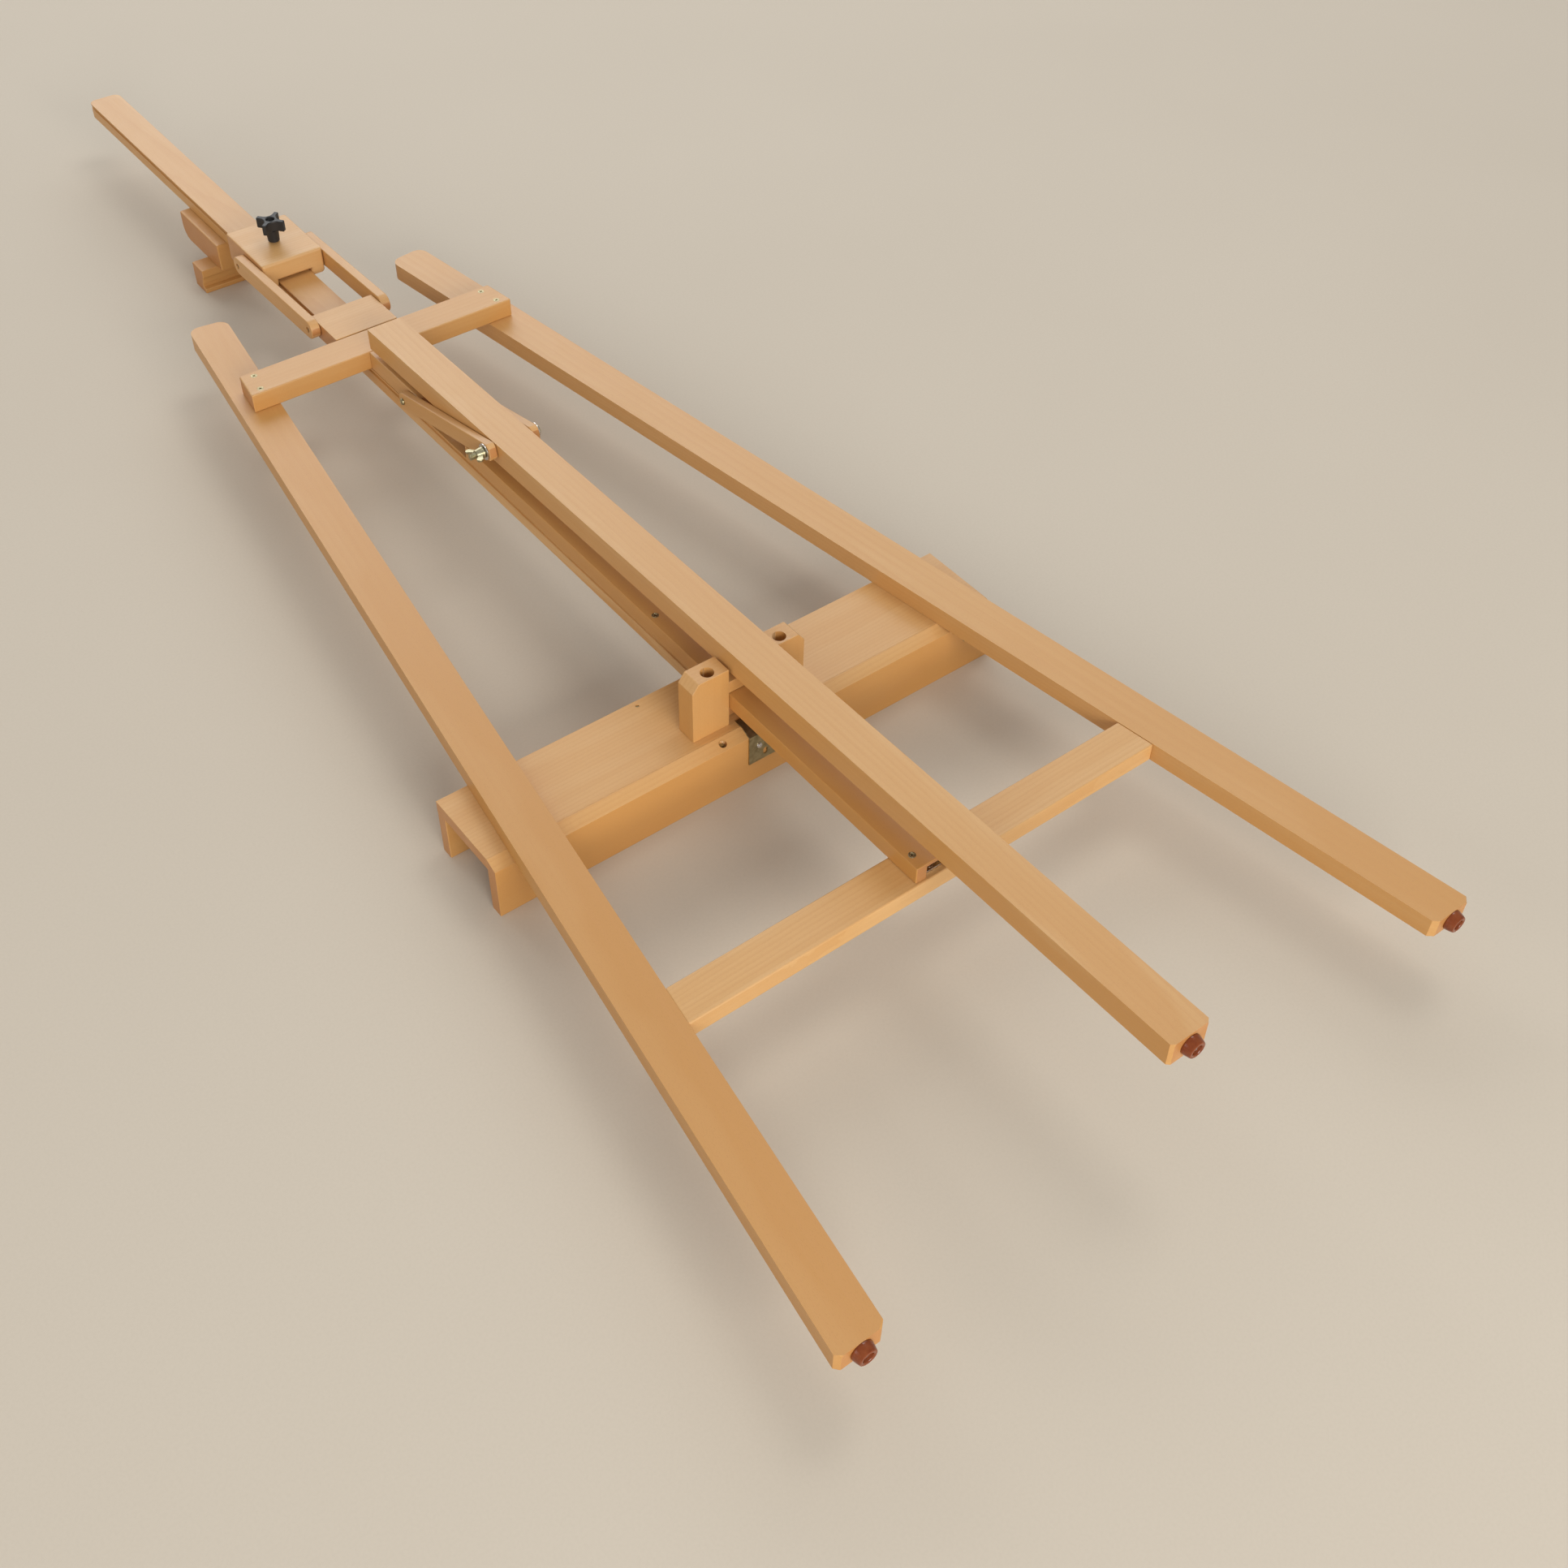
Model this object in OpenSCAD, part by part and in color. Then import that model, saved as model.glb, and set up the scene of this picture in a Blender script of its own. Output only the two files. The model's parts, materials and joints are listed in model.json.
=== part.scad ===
// Folding wooden studio easel, lying folded with the side that faces the painter downwards.
// +Z is up, away from the painter, +Y points to the head of the mast and X runs across the legs.
// Inside the modules the drawing datum is the level of the leg ends (y = 0) and the back face
// of the two front legs (z = 0).  stand() then moves a piece to the easel's own frame.

/* [Front frame] */
// Width of each front leg
leg_w = 40; // [34:0.5:46]
// Thickness of the front legs, the lower rung and the feet zone
leg_t = 18; // [16:0.5:20]
// Length of each front leg along its own axis
leg_len = 1288; // [1250:1:1300]
// Angle between a front leg and the middle line of the easel
splay = 7.75; // [7:0.05:8.5]
// Distance from the middle line to the inner corner of a leg end
foot_x = 270.5; // [260:0.5:285]
// Radius of the two corners at the head end of a front leg
leg_top_r = 11; // [4:0.5:15]
// Distance from the leg ends to the lower edge of the rung
rung_y = 263; // [240:1:300]
// Height of the rung
rung_h = 36.5; // [30:0.5:42]
// Distance from the leg ends to the lower edge of the crossbar
bar_y = 1110.5; // [1090:0.5:1125]
// Height of the crossbar
bar_h = 37; // [32:0.5:42]
// Thickness of the crossbar, the tongue, the hinge plate and the arms
bar_t = 19.6; // [18:0.1:22]
// How far the crossbar ends stop short of the outer edges of the legs
bar_inset = 13; // [8:0.5:18]

/* [Tongue and hinge plate] */
// Width of the tongue between the two link strips
tongue_w = 37; // [34:0.2:38]
// Length of the tongue below the crossbar
tongue_len = 98; // [90:1:110]
// Width of the hinge plate above the crossbar
plate_w = 69.6; // [60:0.2:76]
// Length of the hinge plate
plate_len = 54; // [48:0.5:60]
// Width of the glue line between crossbar and hinge plate
plate_gap = 1; // [0.5:0.1:2]

/* [Rear leg and links] */
// Width of the rear leg
rear_w = 37; // [34:0.2:37.4]
// Thickness of the rear leg
rear_t = 22; // [18:0.5:24]
// Distance from the leg ends to the lower end of the rear leg
rear_y0 = 12; // [8:1:20]
// Distance from the leg ends to the head end of the rear leg
rear_y1 = 1106; // [1095:1:1109]
// Height of the rear leg's middle plane over the front legs' back face, at the leg ends
rear_z0 = 61; // [58:0.5:64]
// Lean of the folded rear leg towards the crossbar
rear_lean = 1.243; // [1:0.01:1.4]
// Distance from the leg ends to the bolt through the rear leg
bolt_y = 872; // [865:1:880]
// Height of the bolt over the rear leg's middle plane
bolt_rise = 2.6; // [0:0.2:4]
// Distance from the leg ends to the pivot screws of the link strips
link_y = 1030; // [1025:1:1036]
// Height of the link pivot over the front legs' back face
link_z = 10; // [9:0.5:11]
// Width of a link strip
link_w = 17; // [16:0.5:22]
// Thickness of a link strip
link_t = 8.2; // [7:0.1:9]
// Radius of the bolt that joins links and rear leg
bolt_r = 3; // [2.5:0.1:3.5]
// Span of the wing nut from tip to tip
wing_span = 28; // [25:0.5:30]

/* [Mast] */
// Width of the guide channel that carries the mast
guide_w = 41; // [39:0.5:41]
// Depth of the guide channel
guide_t = 17; // [16:0.5:18]
// Distance from the leg ends to the lower end of the guide
guide_y0 = 265; // [264:1:270]
// Distance from the leg ends to the upper end of the guide
guide_y1 = 925; // [900:1:928]
// Width of the channel cut into the guide
channel_w = 19; // [16:0.5:22]
// Depth of the channel cut into the guide
channel_d = 13; // [11:0.5:13.5]
// Width of the mast plank
mast_w = 37; // [35:0.2:37.2]
// Thickness of the mast plank
mast_t = 17; // [15:0.5:18]
// Distance from the leg ends to the lower end of the mast plank
mast_y0 = 512; // [505:1:518]
// Distance from the leg ends to the upper end of the mast plank
mast_y1 = 1802; // [1780:1:1810]
// Gap between the mast plank and the parts behind it
mast_gap = 0.3; // [0.3:0.05:0.6]

/* [Arms and clamp block] */
// Thickness of an arm, across the easel
arm_w = 10; // [9:0.2:12]
// Distance from the leg ends to the arm pivots on the hinge plate
arm_y = 1191; // [1188:1:1194]
// Distance from the arm pivots to the clamp block pivots
arm_reach = 159; // [156:1:162]
// Height of the arm pivots on the hinge plate over the front legs' back face
arm_low_z = 13.3; // [12:0.1:14]
// Height of the arm pivots on the clamp block over the front legs' back face
arm_high_z = 7.9; // [7:0.1:9]
// Distance from the leg ends to the lower face of the clamp block
block_y0 = 1308; // [1306:1:1311]
// Distance from the leg ends to the upper face of the clamp block
block_y1 = 1394; // [1388:1:1398]
// How far the clamp block stands up over the hinge plate
block_rise = 3.6; // [2:0.2:5]
// Gap between the mast and the ceiling of the clamp block's slot
slot_gap = 2.8; // [2.4:0.2:5]
// How far the cheeks of the clamp block reach down beside the mast
cheek_d = 12; // [8:0.5:15]
// Radius of the star knob over its lobes
knob_r = 15.5; // [13:0.5:18]
// Height of the top of the star knob over the front legs' back face
knob_z = 49; // [47:0.5:56]

/* [Upper canvas clamp] */
// Width of the carriage
carriage_w = 61; // [56:0.5:64]
// Distance from the leg ends to the lower face of the carriage
carriage_y0 = 1442; // [1436:1:1448]
// Distance from the leg ends to the upper face of the carriage
carriage_y1 = 1536; // [1528:1:1542]
// Depth of the carriage
carriage_t = 31; // [28:0.5:33]
// Length of the lip bar across the easel
lip_w = 98; // [90:1:106]
// Depth of the lip bar along the mast
lip_d = 25; // [22:0.5:28]

/* [Tray] */
// Length of the tray across the easel
tray_w = 524; // [510:1:540]
// Distance from the leg ends to the lower side of the tray
tray_y0 = 485; // [480:1:490]
// Width of the tray along the mast
tray_d = 89; // [84:0.5:94]
// Thickness of the tray boards
board_t = 12; // [10:0.5:13]
// Height of the floor side of the tray under the front legs' back face
tray_depth = 77; // [72:0.5:80]
// Width of an ear block
ear_w = 36.8; // [34:0.1:38]
// Thickness of an ear block along the mast
ear_d = 20.5; // [18:0.5:22]
// Height of the ear tops over the front legs' back face
ear_z = 44.5; // [42:0.5:48]
// Gap between an ear block and the guide
ear_gap = 0.3; // [0.3:0.05:0.5]

/* [Hidden] */
$fn = 48;
far = 400;
fit = 0.04;
side_gap = 0.5;

beech = [0.86, 0.69, 0.50];
beech_dark = [0.76, 0.55, 0.33];
foot_brown = [0.62, 0.30, 0.20];
black = [0.10, 0.10, 0.11];
zinc = [0.80, 0.76, 0.60];
steel = [0.72, 0.72, 0.70];

foot_h = 8;
foot_r = 9.5;
foot_tip_r = 7;
foot_recess = 3.2;
foot_rim = 3;
foot_taper = 0.6;
nail_r = 2;
nail_head_r = 2.9;
nail_head_h = 1.2;
nail_len = 18;

floor_z = -tray_depth;
mid_y = (mast_y1 - foot_h) / 2;

rear_z = rear_z0 - bolt_y * tan(rear_lean);
link_dy = link_y - bolt_y;
bolt_z = rear_z + bolt_rise;
link_dz = bolt_z - link_z;
link_len = norm([link_dy, link_dz]);
link_turn = atan2(link_dz, link_dy);
link_x = tongue_w / 2 + side_gap;

block_w = plate_w;
arm_x = plate_w / 2 + side_gap;
head_y = arm_y + arm_reach;
arm_lean = atan2(arm_high_z - arm_low_z, arm_reach);
arm_len = norm([arm_reach, arm_high_z - arm_low_z]);
knob_y = block_y0 + 41;
block_top = bar_t + block_rise;
ceiling_z = slot_gap - mast_gap;

mast_back = -mast_gap;
mast_front = mast_back - mast_t;
runner_y0 = 530;
runner_y1 = 750;
runner_screw_r = 1.6;
mast_end_r = 8;
carriage_back = mast_front - side_gap;
carriage_front = carriage_back - carriage_t;
carriage_nose = 20;
lip_y0 = carriage_y0 + 13;
lip_top = carriage_front - fit;
key_neck = 8;
key_head = 15;
key_neck_d = 5;
key_head_d = 4.5;

ear_setback = 6.8;
tray_back = -leg_t - ear_gap;
tray_y1 = tray_y0 + tray_d;
ear_x = guide_w / 2 + ear_gap;
ear_y0 = tray_y0 + board_t + ear_setback;
ear_mid_x = ear_x + ear_w / 2 - 2.2;
ear_mid_y = ear_y0 + ear_d / 2 - 2;
bridge_z = guide_t + 0.8;
bridge_t = 12.5;

screw_r = 2;
screw_head_r = 3.3;
turn_fit = 0.06;
bar_screw_len = 32;
bar_screw_y = [7, 30];
bar_screw_x = [15.5, 14];

module stand() {
    translate([0, -mid_y, tray_depth]) children();
}

module both_sides() {
    for (side = [0, 1]) mirror([side, 0, 0]) children();
}

// Frame of the right front leg: x runs outwards from its inner edge, y along the leg
module along_leg() {
    translate([foot_x, 0, 0]) rotate([0, 0, splay]) children();
}

// Distance from the middle line to the inner edge of the legs, at a distance y from their ends
function inner_x(y) = foot_x - y * tan(splay);

// Countersunk screw with its head at z = 0 and its shank along -z
module screw(len, grow = 0, cut_slot = true) {
    head_h = screw_head_r - screw_r;
    difference() {
        union() {
            translate([0, 0, -len - grow]) cylinder(r = screw_r + grow, h = len + grow);
            translate([0, 0, -head_h - grow])
                cylinder(r1 = screw_r + grow, r2 = screw_head_r + 2 * grow, h = head_h + grow);
        }
        if (cut_slot) cross_slot();
    }
}

module cross_slot() {
    slot_l = 3.4;
    slot_w = 0.9;
    slot_d = 1.1;
    for (turn = [0, 90]) rotate([0, 0, turn])
        translate([-slot_l / 2, -slot_w / 2, -slot_d]) cube([slot_l, slot_w, slot_d + 1]);
}

module screw_hole(len) {
    screw(len, fit, false);
    cylinder(r = screw_head_r + 2 * fit, h = 1);
}

module rod(r, len) {
    cylinder(r = r, h = len);
}

// A bar along +y whose head end has two rounded corners
module round_ended(w, len, r) {
    square_part = len - r;
    square([w, square_part]);
    translate([r, 0]) square([w - 2 * r, len]);
    for (x = [r, w - r]) translate([x, square_part]) circle(r = r);
}

/* Front frame */

module crossbar_screw_places() {
    both_sides() for (i = [0, 1]) {
        y = bar_y + bar_screw_y[i];
        translate([inner_x(y) + bar_screw_x[i], y, bar_t]) children();
    }
}

rung_dowel_r = 4;
rung_dowel_len = 44;
rung_dowel_inset = 10;

module rung_dowel_places() {
    for (y = [rung_y + rung_dowel_inset, rung_y + rung_h - rung_dowel_inset])
        translate([inner_x(y) - rung_dowel_len / 2, y, -leg_t / 2]) rotate([0, 90, 0]) children();
}

module front_leg() {
    slant = leg_w * tan(splay) + 1;
    difference() {
        along_leg() translate([0, -slant, -leg_t]) linear_extrude(leg_t)
            round_ended(leg_w, leg_len + slant, leg_top_r);
        translate([foot_x - far / 2, -far, -far / 2]) cube([far, far, far]);
        rung_dowel_places() rod(rung_dowel_r + fit, rung_dowel_len);
        crossbar_screw_places() screw_hole(bar_screw_len + 1);
        foot_place() nail(fit);
    }
}

module leg_right() {
    color(beech) stand() front_leg();
}

module leg_left() {
    color(beech) stand() mirror([1, 0, 0]) front_leg();
}

module lower_rung() {
    top = rung_y + rung_h;
    color(beech) stand() difference() {
        translate([0, 0, -leg_t]) linear_extrude(leg_t)
            polygon([[-inner_x(rung_y), rung_y], [inner_x(rung_y), rung_y],
                     [inner_x(top), top], [-inner_x(top), top]]);
        both_sides() rung_dowel_places() rod(rung_dowel_r + fit, rung_dowel_len);
        hinge_screw_places() rod_down(screw_r + fit, 14);
    }
}

module rung_dowels() {
    color(beech_dark) stand() both_sides() rung_dowel_places() rod(rung_dowel_r, rung_dowel_len);
}

spine_r = 4;
spine_x = 11;
spine_below = 60;
spine_y0 = bar_y - spine_below;
spine_len = 130;

module spine_places() {
    both_sides() translate([spine_x, spine_y0, bar_t / 2]) rotate([-90, 0, 0]) children();
}

module spine_dowels() {
    color(beech_dark) stand() spine_places() rod(spine_r, spine_len);
}

module upper_crossbar() {
    top = bar_y + bar_h;
    reach = leg_w / cos(splay) - bar_inset;
    low_x = inner_x(bar_y) + reach;
    top_x = inner_x(top) + reach;
    color(beech) stand() difference() {
        linear_extrude(bar_t)
            polygon([[-low_x, bar_y], [low_x, bar_y], [top_x, top], [-top_x, top]]);
        crossbar_screw_places() screw_hole(bar_screw_len + 1);
        spine_places() rod(spine_r + fit, spine_len);
    }
}

module crossbar_screws() {
    color(steel) stand() crossbar_screw_places() screw(bar_screw_len);
}

module tongue_block() {
    color(beech) stand() difference() {
        translate([-tongue_w / 2, bar_y - tongue_len, 0]) cube([tongue_w, tongue_len, bar_t]);
        spine_places() rod(spine_r + fit, spine_len);
        link_screw_places() rod(screw_r + fit, link_screw_grip + 1);
    }
}

module hinge_plate() {
    y0 = bar_y + bar_h + plate_gap;
    color(beech) stand() difference() {
        translate([-plate_w / 2, y0, 0]) cube([plate_w, plate_len, bar_t]);
        spine_places() rod(spine_r + fit, spine_len);
        arm_foot_places() rod(screw_r + fit, arm_grip + 4);
    }
}

/* Feet */

module foot_place() {
    translate([foot_x + leg_w / 2 / cos(splay), 0, -leg_t / 2]) rotate([90, 0, 0]) children();
}

module foot() {
    difference() {
        cylinder(r1 = foot_r - foot_taper, r2 = foot_tip_r, h = foot_h);
        translate([0, 0, foot_h - foot_recess])
            cylinder(r = foot_tip_r - foot_rim, h = foot_recess + 1);
        translate([0, 0, -1]) cylinder(r = nail_r + fit, h = foot_h + 2);
    }
}

module nail(grow = 0) {
    seat = foot_h - foot_recess;
    translate([0, 0, seat - nail_len - grow]) cylinder(r = nail_r + grow, h = nail_len + grow);
    translate([0, 0, seat]) cylinder(r = nail_head_r, h = nail_head_h);
}

module foot_right() {
    color(foot_brown) stand() foot_place() foot();
}

module foot_left() {
    color(foot_brown) stand() mirror([1, 0, 0]) foot_place() foot();
}

module foot_nails() {
    color(steel) stand() both_sides() foot_place() nail();
}

/* Links and rear leg */

link_screw_grip = 13;
link_screw_seat = link_screw_grip + side_gap + link_t + 0.3;

module link_screw_places() {
    both_sides() translate([tongue_w / 2 - link_screw_grip, link_y, link_z]) rotate([0, 90, 0])
        children();
}

// Frame of the left or right strip: the pivot at the origin, the bolt end towards -y
module along_link() {
    translate([link_x, link_y, link_z]) rotate([-link_turn, 0, 0]) children();
}

module link_strip() {
    r = link_w / 2;
    nose = 9;
    cut = 3.5;
    along_link() rotate([90, 0, 90]) linear_extrude(link_t) difference() {
        union() {
            circle(r = r);
            translate([-link_len, -r]) square([link_len, link_w]);
            polygon([[-link_len, -r], [-link_len, r], [-link_len - nose + cut, r],
                     [-link_len - nose, r - cut], [-link_len - nose, cut - r],
                     [-link_len - nose + cut, -r]]);
        }
        circle(r = screw_r + turn_fit);
        translate([-link_len, 0]) circle(r = bolt_r + turn_fit);
    }
}

module link_right() {
    color(beech) stand() link_strip();
}

module link_left() {
    color(beech) stand() mirror([1, 0, 0]) link_strip();
}

module link_screws() {
    head_h = 2.2;
    head_low_r = 4;
    head_top_r = 3;
    color(steel) stand() link_screw_places() difference() {
        union() {
            rod(screw_r, link_screw_seat + 0.1);
            translate([0, 0, link_screw_seat])
                cylinder(r1 = head_low_r, r2 = head_top_r, h = head_h);
        }
        translate([0, 0, link_screw_seat + head_h]) cross_slot();
    }
}

washer_t = 1.2;
washer_r = 8;
bolt_over = 16;
bolt_x0 = -(link_x + link_t + bolt_over);
bolt_x1 = link_x + link_t + washer_t + 0.3;

module bolt_frame() {
    translate([0, bolt_y, bolt_z]) rotate([0, 90, 0]) children();
}

module pivot_bolt() {
    head_h = 3;
    head_low_r = 7.5;
    head_top_r = 4.5;
    color(zinc) stand() bolt_frame() {
        translate([0, 0, bolt_x0]) rod(bolt_r, bolt_x1 - bolt_x0 + 0.5);
        translate([0, 0, bolt_x1]) cylinder(r1 = head_low_r, r2 = head_top_r, h = head_h);
    }
}

module bolt_washers() {
    color(steel) stand() bolt_frame() both_ends() difference() {
        cylinder(r = washer_r, h = washer_t);
        translate([0, 0, -1]) cylinder(r = bolt_r + turn_fit, h = washer_t + 2);
    }
}

module both_ends() {
    for (side = [0, 1]) mirror([0, 0, side]) translate([0, 0, link_x + link_t + 0.1]) children();
}

module wing_nut() {
    hub_h = 8;
    hub_low_r = 5.6;
    hub_top_r = 4.6;
    wing_t = 2.4;
    root_x = -(link_x + link_t + washer_t + 0.5);
    wing_turn = 80;
    color(zinc) stand() bolt_frame() translate([0, 0, root_x]) mirror([0, 0, 1]) difference() {
        union() {
            cylinder(r1 = hub_low_r, r2 = hub_top_r, h = hub_h);
            for (turn = [0, 180]) rotate([0, 0, turn + wing_turn]) wing(wing_t, hub_h);
        }
        translate([0, 0, -1]) cylinder(r = bolt_r + 0.08, h = hub_h + 2);
    }
}

module wing(t, hub_h) {
    tip = wing_span / 2;
    r = 3.3;
    translate([0, t / 2, 0]) rotate([90, 0, 0]) linear_extrude(t) difference() {
        union() {
            polygon([[4, 1.5], [4, hub_h - 0.5], [tip - r - 1, hub_h + r + 0.5], [tip - 0.6, hub_h]]);
            translate([tip - r, hub_h + 1]) circle(r = r);
        }
        translate([-1, -1]) square([4, 30]);
    }
}

// Frame of the rear leg: y runs along the leg from beside the bolt, z = 0 is its middle plane
module along_rear() {
    translate([0, bolt_y, rear_z]) rotate([-rear_lean, 0, 0]) children();
}

rear_down = (bolt_y - rear_y0) / cos(rear_lean);
rear_up = (rear_y1 - bolt_y) / cos(rear_lean);

module rear_leg() {
    color(beech) stand() difference() {
        along_rear() translate([-rear_w / 2, -rear_down, -rear_t / 2])
            cube([rear_w, rear_down + rear_up, rear_t]);
        bolt_frame() translate([0, 0, -far / 2]) rod(bolt_r + turn_fit, far);
        along_rear() rear_foot_place() nail(fit);
    }
}

module rear_foot_place() {
    translate([0, -rear_down, 0]) rotate([90, 0, 0]) children();
}

module rear_foot() {
    color(foot_brown) stand() along_rear() rear_foot_place() foot();
}

module rear_foot_nail() {
    color(steel) stand() along_rear() rear_foot_place() nail();
}

/* Guide and mast */

hinge_y = rung_y + rung_h;
hinge_z = 7.5;
pin_r = 2;
pin_len = 32;
hinge_plate_t = 2.4;

module hinge_pin_place() {
    translate([-pin_len / 2, hinge_y, hinge_z]) rotate([0, 90, 0]) children();
}

hinge_screw_len = 13;

module hinge_screw_places() {
    for (back = [26, 13]) translate([0, hinge_y - back, hinge_plate_t]) children();
}

// Lug on the rung's back, in the guide's channel, that holds the pin the guide tilts on
module rung_hinge() {
    base_w = 16;
    lug_w = 9;
    eye_r = 4.5;
    back = 31;
    color(steel) stand() difference() {
        union() {
            translate([-base_w / 2, hinge_y - back, fit]) cube([base_w, back, hinge_plate_t - fit]);
            translate([-lug_w / 2, 0, 0]) rotate([90, 0, 90]) linear_extrude(lug_w) {
                translate([hinge_y, hinge_z]) circle(r = eye_r);
                polygon([[hinge_y - 8.5, fit], [hinge_y, fit], [hinge_y + eye_r - 0.2, hinge_z - 1],
                         [hinge_y - eye_r + 0.6, hinge_z + 2]]);
            }
        }
        hinge_pin_place() rod(pin_r + fit, pin_len);
        hinge_screw_places() screw_hole(hinge_screw_len + 1);
    }
}

module hinge_pin() {
    color(steel) stand() hinge_pin_place() rod(pin_r, pin_len);
}

module hinge_screws() {
    color(steel) stand() hinge_screw_places() screw(hinge_screw_len);
}

guide_screw_y = [guide_y0 + 14, 620, guide_y1 - 25];
guide_screw_x = 13.8;
small_r = 1.6;
cup_r = 3.2;
cup_h = 1.15;
guide_screw_len = 11.5;

module guide_channel() {
    len = guide_y1 - guide_y0;
    color(beech_dark) stand() difference() {
        translate([-guide_w / 2, guide_y0, mast_gap]) cube([guide_w, len, guide_t]);
        translate([-fit, 0, 0]) hinge_pin_place() rod(pin_r + 0.06, pin_len + 2 * fit);
        translate([-channel_w / 2, guide_y0 - 1, mast_gap - 1])
            cube([channel_w, len + 2, channel_d + 1]);
        guide_screw_places() {
            rod_down(small_r + fit, guide_screw_len + 0.5);
            translate([0, 0, -cup_h - fit]) cylinder(r = cup_r + fit, h = 3);
        }
    }
}

module rod_down(r, len) {
    translate([0, 0, -len]) cylinder(r = r, h = len + 1);
}

module guide_screw_places() {
    for (y = guide_screw_y) both_sides()
        translate([guide_screw_x, y, mast_gap + guide_t]) children();
}

module guide_screws() {
    color(zinc) stand() guide_screw_places() {
        difference() {
            union() {
                translate([0, 0, -guide_screw_len]) cylinder(r = small_r, h = guide_screw_len);
                translate([0, 0, -cup_h]) cylinder(r = cup_r, h = cup_h + 0.2);
            }
            ring_groove();
            cross_slot();
        }
    }
}

module ring_groove() {
    difference() {
        translate([0, 0, -0.3]) cylinder(r = cup_r - 0.4, h = 1);
        translate([0, 0, -1]) cylinder(r = cup_r - 0.8, h = 2);
    }
}

key_gap = 0.3;

module mast_plank() {
    len = mast_y1 - mast_y0;
    line_d = 1.8;
    line_w = 4.2;
    line_z = mast_back - 1.6;
    color(beech) stand() difference() {
        translate([-mast_w / 2, mast_y0, mast_front]) linear_extrude(mast_t)
            round_ended(mast_w, len, mast_end_r);
        both_sides() translate([mast_w / 2 - line_d, mast_y0 - 1, line_z - line_w])
            cube([line_d + 1, len + 2, line_w]);
        translate([-key_neck / 2 - key_gap, mast_y0 - 1, mast_front - 1])
            cube([key_neck + 2 * key_gap, len + 2, key_neck_d + 1]);
        translate([-key_head / 2 - key_gap, mast_y0 - 1, mast_front + key_neck_d - 2 * key_gap])
            cube([key_head + 2 * key_gap, len + 2, key_head_d + 1]);
        runner_screw_places() rod_down(runner_screw_r + fit, runner_screw_len + 2);
    }
}

runner_gap = 0.4;
runner_screw_len = 18;
runner_head_r = 3.2;
runner_head_h = 1.6;
runner_head_z = -1.95;

module runner_screw_places() {
    for (y = [runner_y0 + 20, runner_y1 - 20])
        translate([0, y, channel_d - 0.7]) children();
}

module mast_runner() {
    color(beech_dark) stand() difference() {
        translate([-channel_w / 2 + runner_gap, runner_y0, mast_back])
            cube([channel_w - 2 * runner_gap, runner_y1 - runner_y0, channel_d - runner_gap]);
        runner_screw_places() {
            rod_down(runner_screw_r + fit, runner_screw_len + 2);
            translate([0, 0, runner_head_z - fit]) cylinder(r = runner_head_r + fit, h = 4);
        }
    }
}

module runner_screws() {
    color(steel) stand() runner_screw_places() {
        translate([0, 0, -runner_screw_len]) cylinder(r = runner_screw_r, h = runner_screw_len - 1);
        translate([0, 0, runner_head_z]) cylinder(r = runner_head_r, h = runner_head_h);
    }
}

/* Arms and clamp block */

arm_grip = 16;
arm_sink = 2.4;
arm_head_r = 3;
arm_head_h = 1.6;

module arm_foot_places() {
    both_sides() translate([plate_w / 2 - arm_grip, arm_y, arm_low_z]) rotate([0, 90, 0])
        children();
}

module arm_head_places() {
    both_sides() translate([plate_w / 2 - arm_grip, head_y, arm_high_z]) rotate([0, 90, 0])
        children();
}

// Frame of an arm: its lower pivot at the origin, x along the arm, z across the easel
module along_arm() {
    translate([arm_x, arm_y, arm_low_z]) rotate([90, 0, 90]) rotate([0, 0, arm_lean]) children();
}

module arm() {
    r = bar_t / 2;
    along_arm() difference() {
        linear_extrude(arm_w) union() {
            translate([0, -r]) square([arm_len, 2 * r]);
            for (x = [0, arm_len]) translate([x, 0]) circle(r = r);
        }
        for (x = [0, arm_len]) translate([x, 0, -1]) {
            rod(screw_r + turn_fit, arm_w + 2);
            translate([0, 0, 1 + arm_w - arm_sink]) rod(arm_head_r + 0.1, far);
        }
    }
}

module arm_right() {
    color(beech) stand() arm();
}

module arm_left() {
    color(beech) stand() mirror([1, 0, 0]) arm();
}

// Shoulder screw whose head is sunk in the outer face of an arm
module arm_screw() {
    reach = arm_grip + side_gap + arm_w - arm_sink + 0.1;
    difference() {
        union() {
            rod(screw_r, reach + 0.4);
            translate([0, 0, reach]) cylinder(r = arm_head_r, h = arm_head_h);
        }
        translate([0, 0, reach + arm_head_h + 0.3]) cross_slot();
    }
}

module arm_screws() {
    color(steel) stand() arm_foot_places() arm_screw();
}

module block_screws() {
    color(steel) stand() arm_head_places() arm_screw();
}

bolt_shaft_r = 4;
bolt_shaft_z0 = ceiling_z + 3.3;
bolt_shaft_z1 = knob_z - 6;
pad_r = 8.6;
pad_h = 2.8;
pad_seat = 1.4;

module clamp_block() {
    len = block_y1 - block_y0;
    half = block_w / 2;
    slot_half = mast_w / 2 + side_gap;
    corner = 8;
    cheek_z = block_rise - cheek_d;
    color(beech) stand() difference() {
        translate([-half, block_y0, cheek_z]) cube([block_w, len, block_top - cheek_z]);
        translate([-slot_half, block_y0 - 1, cheek_z - 1])
            cube([2 * slot_half, len + 2, 1 + ceiling_z - cheek_z]);
        translate([-half - 1, block_y0, cheek_z]) corner_cut(corner, block_w + 2);
        translate([0, knob_y, 0]) cylinder(r = bolt_shaft_r + turn_fit, h = block_top + 1);
        translate([0, knob_y, 0]) cylinder(r = pad_r + 0.4, h = ceiling_z + pad_h + 0.4);
        arm_head_places() rod(screw_r + fit, arm_grip + 4);
    }
}

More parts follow.
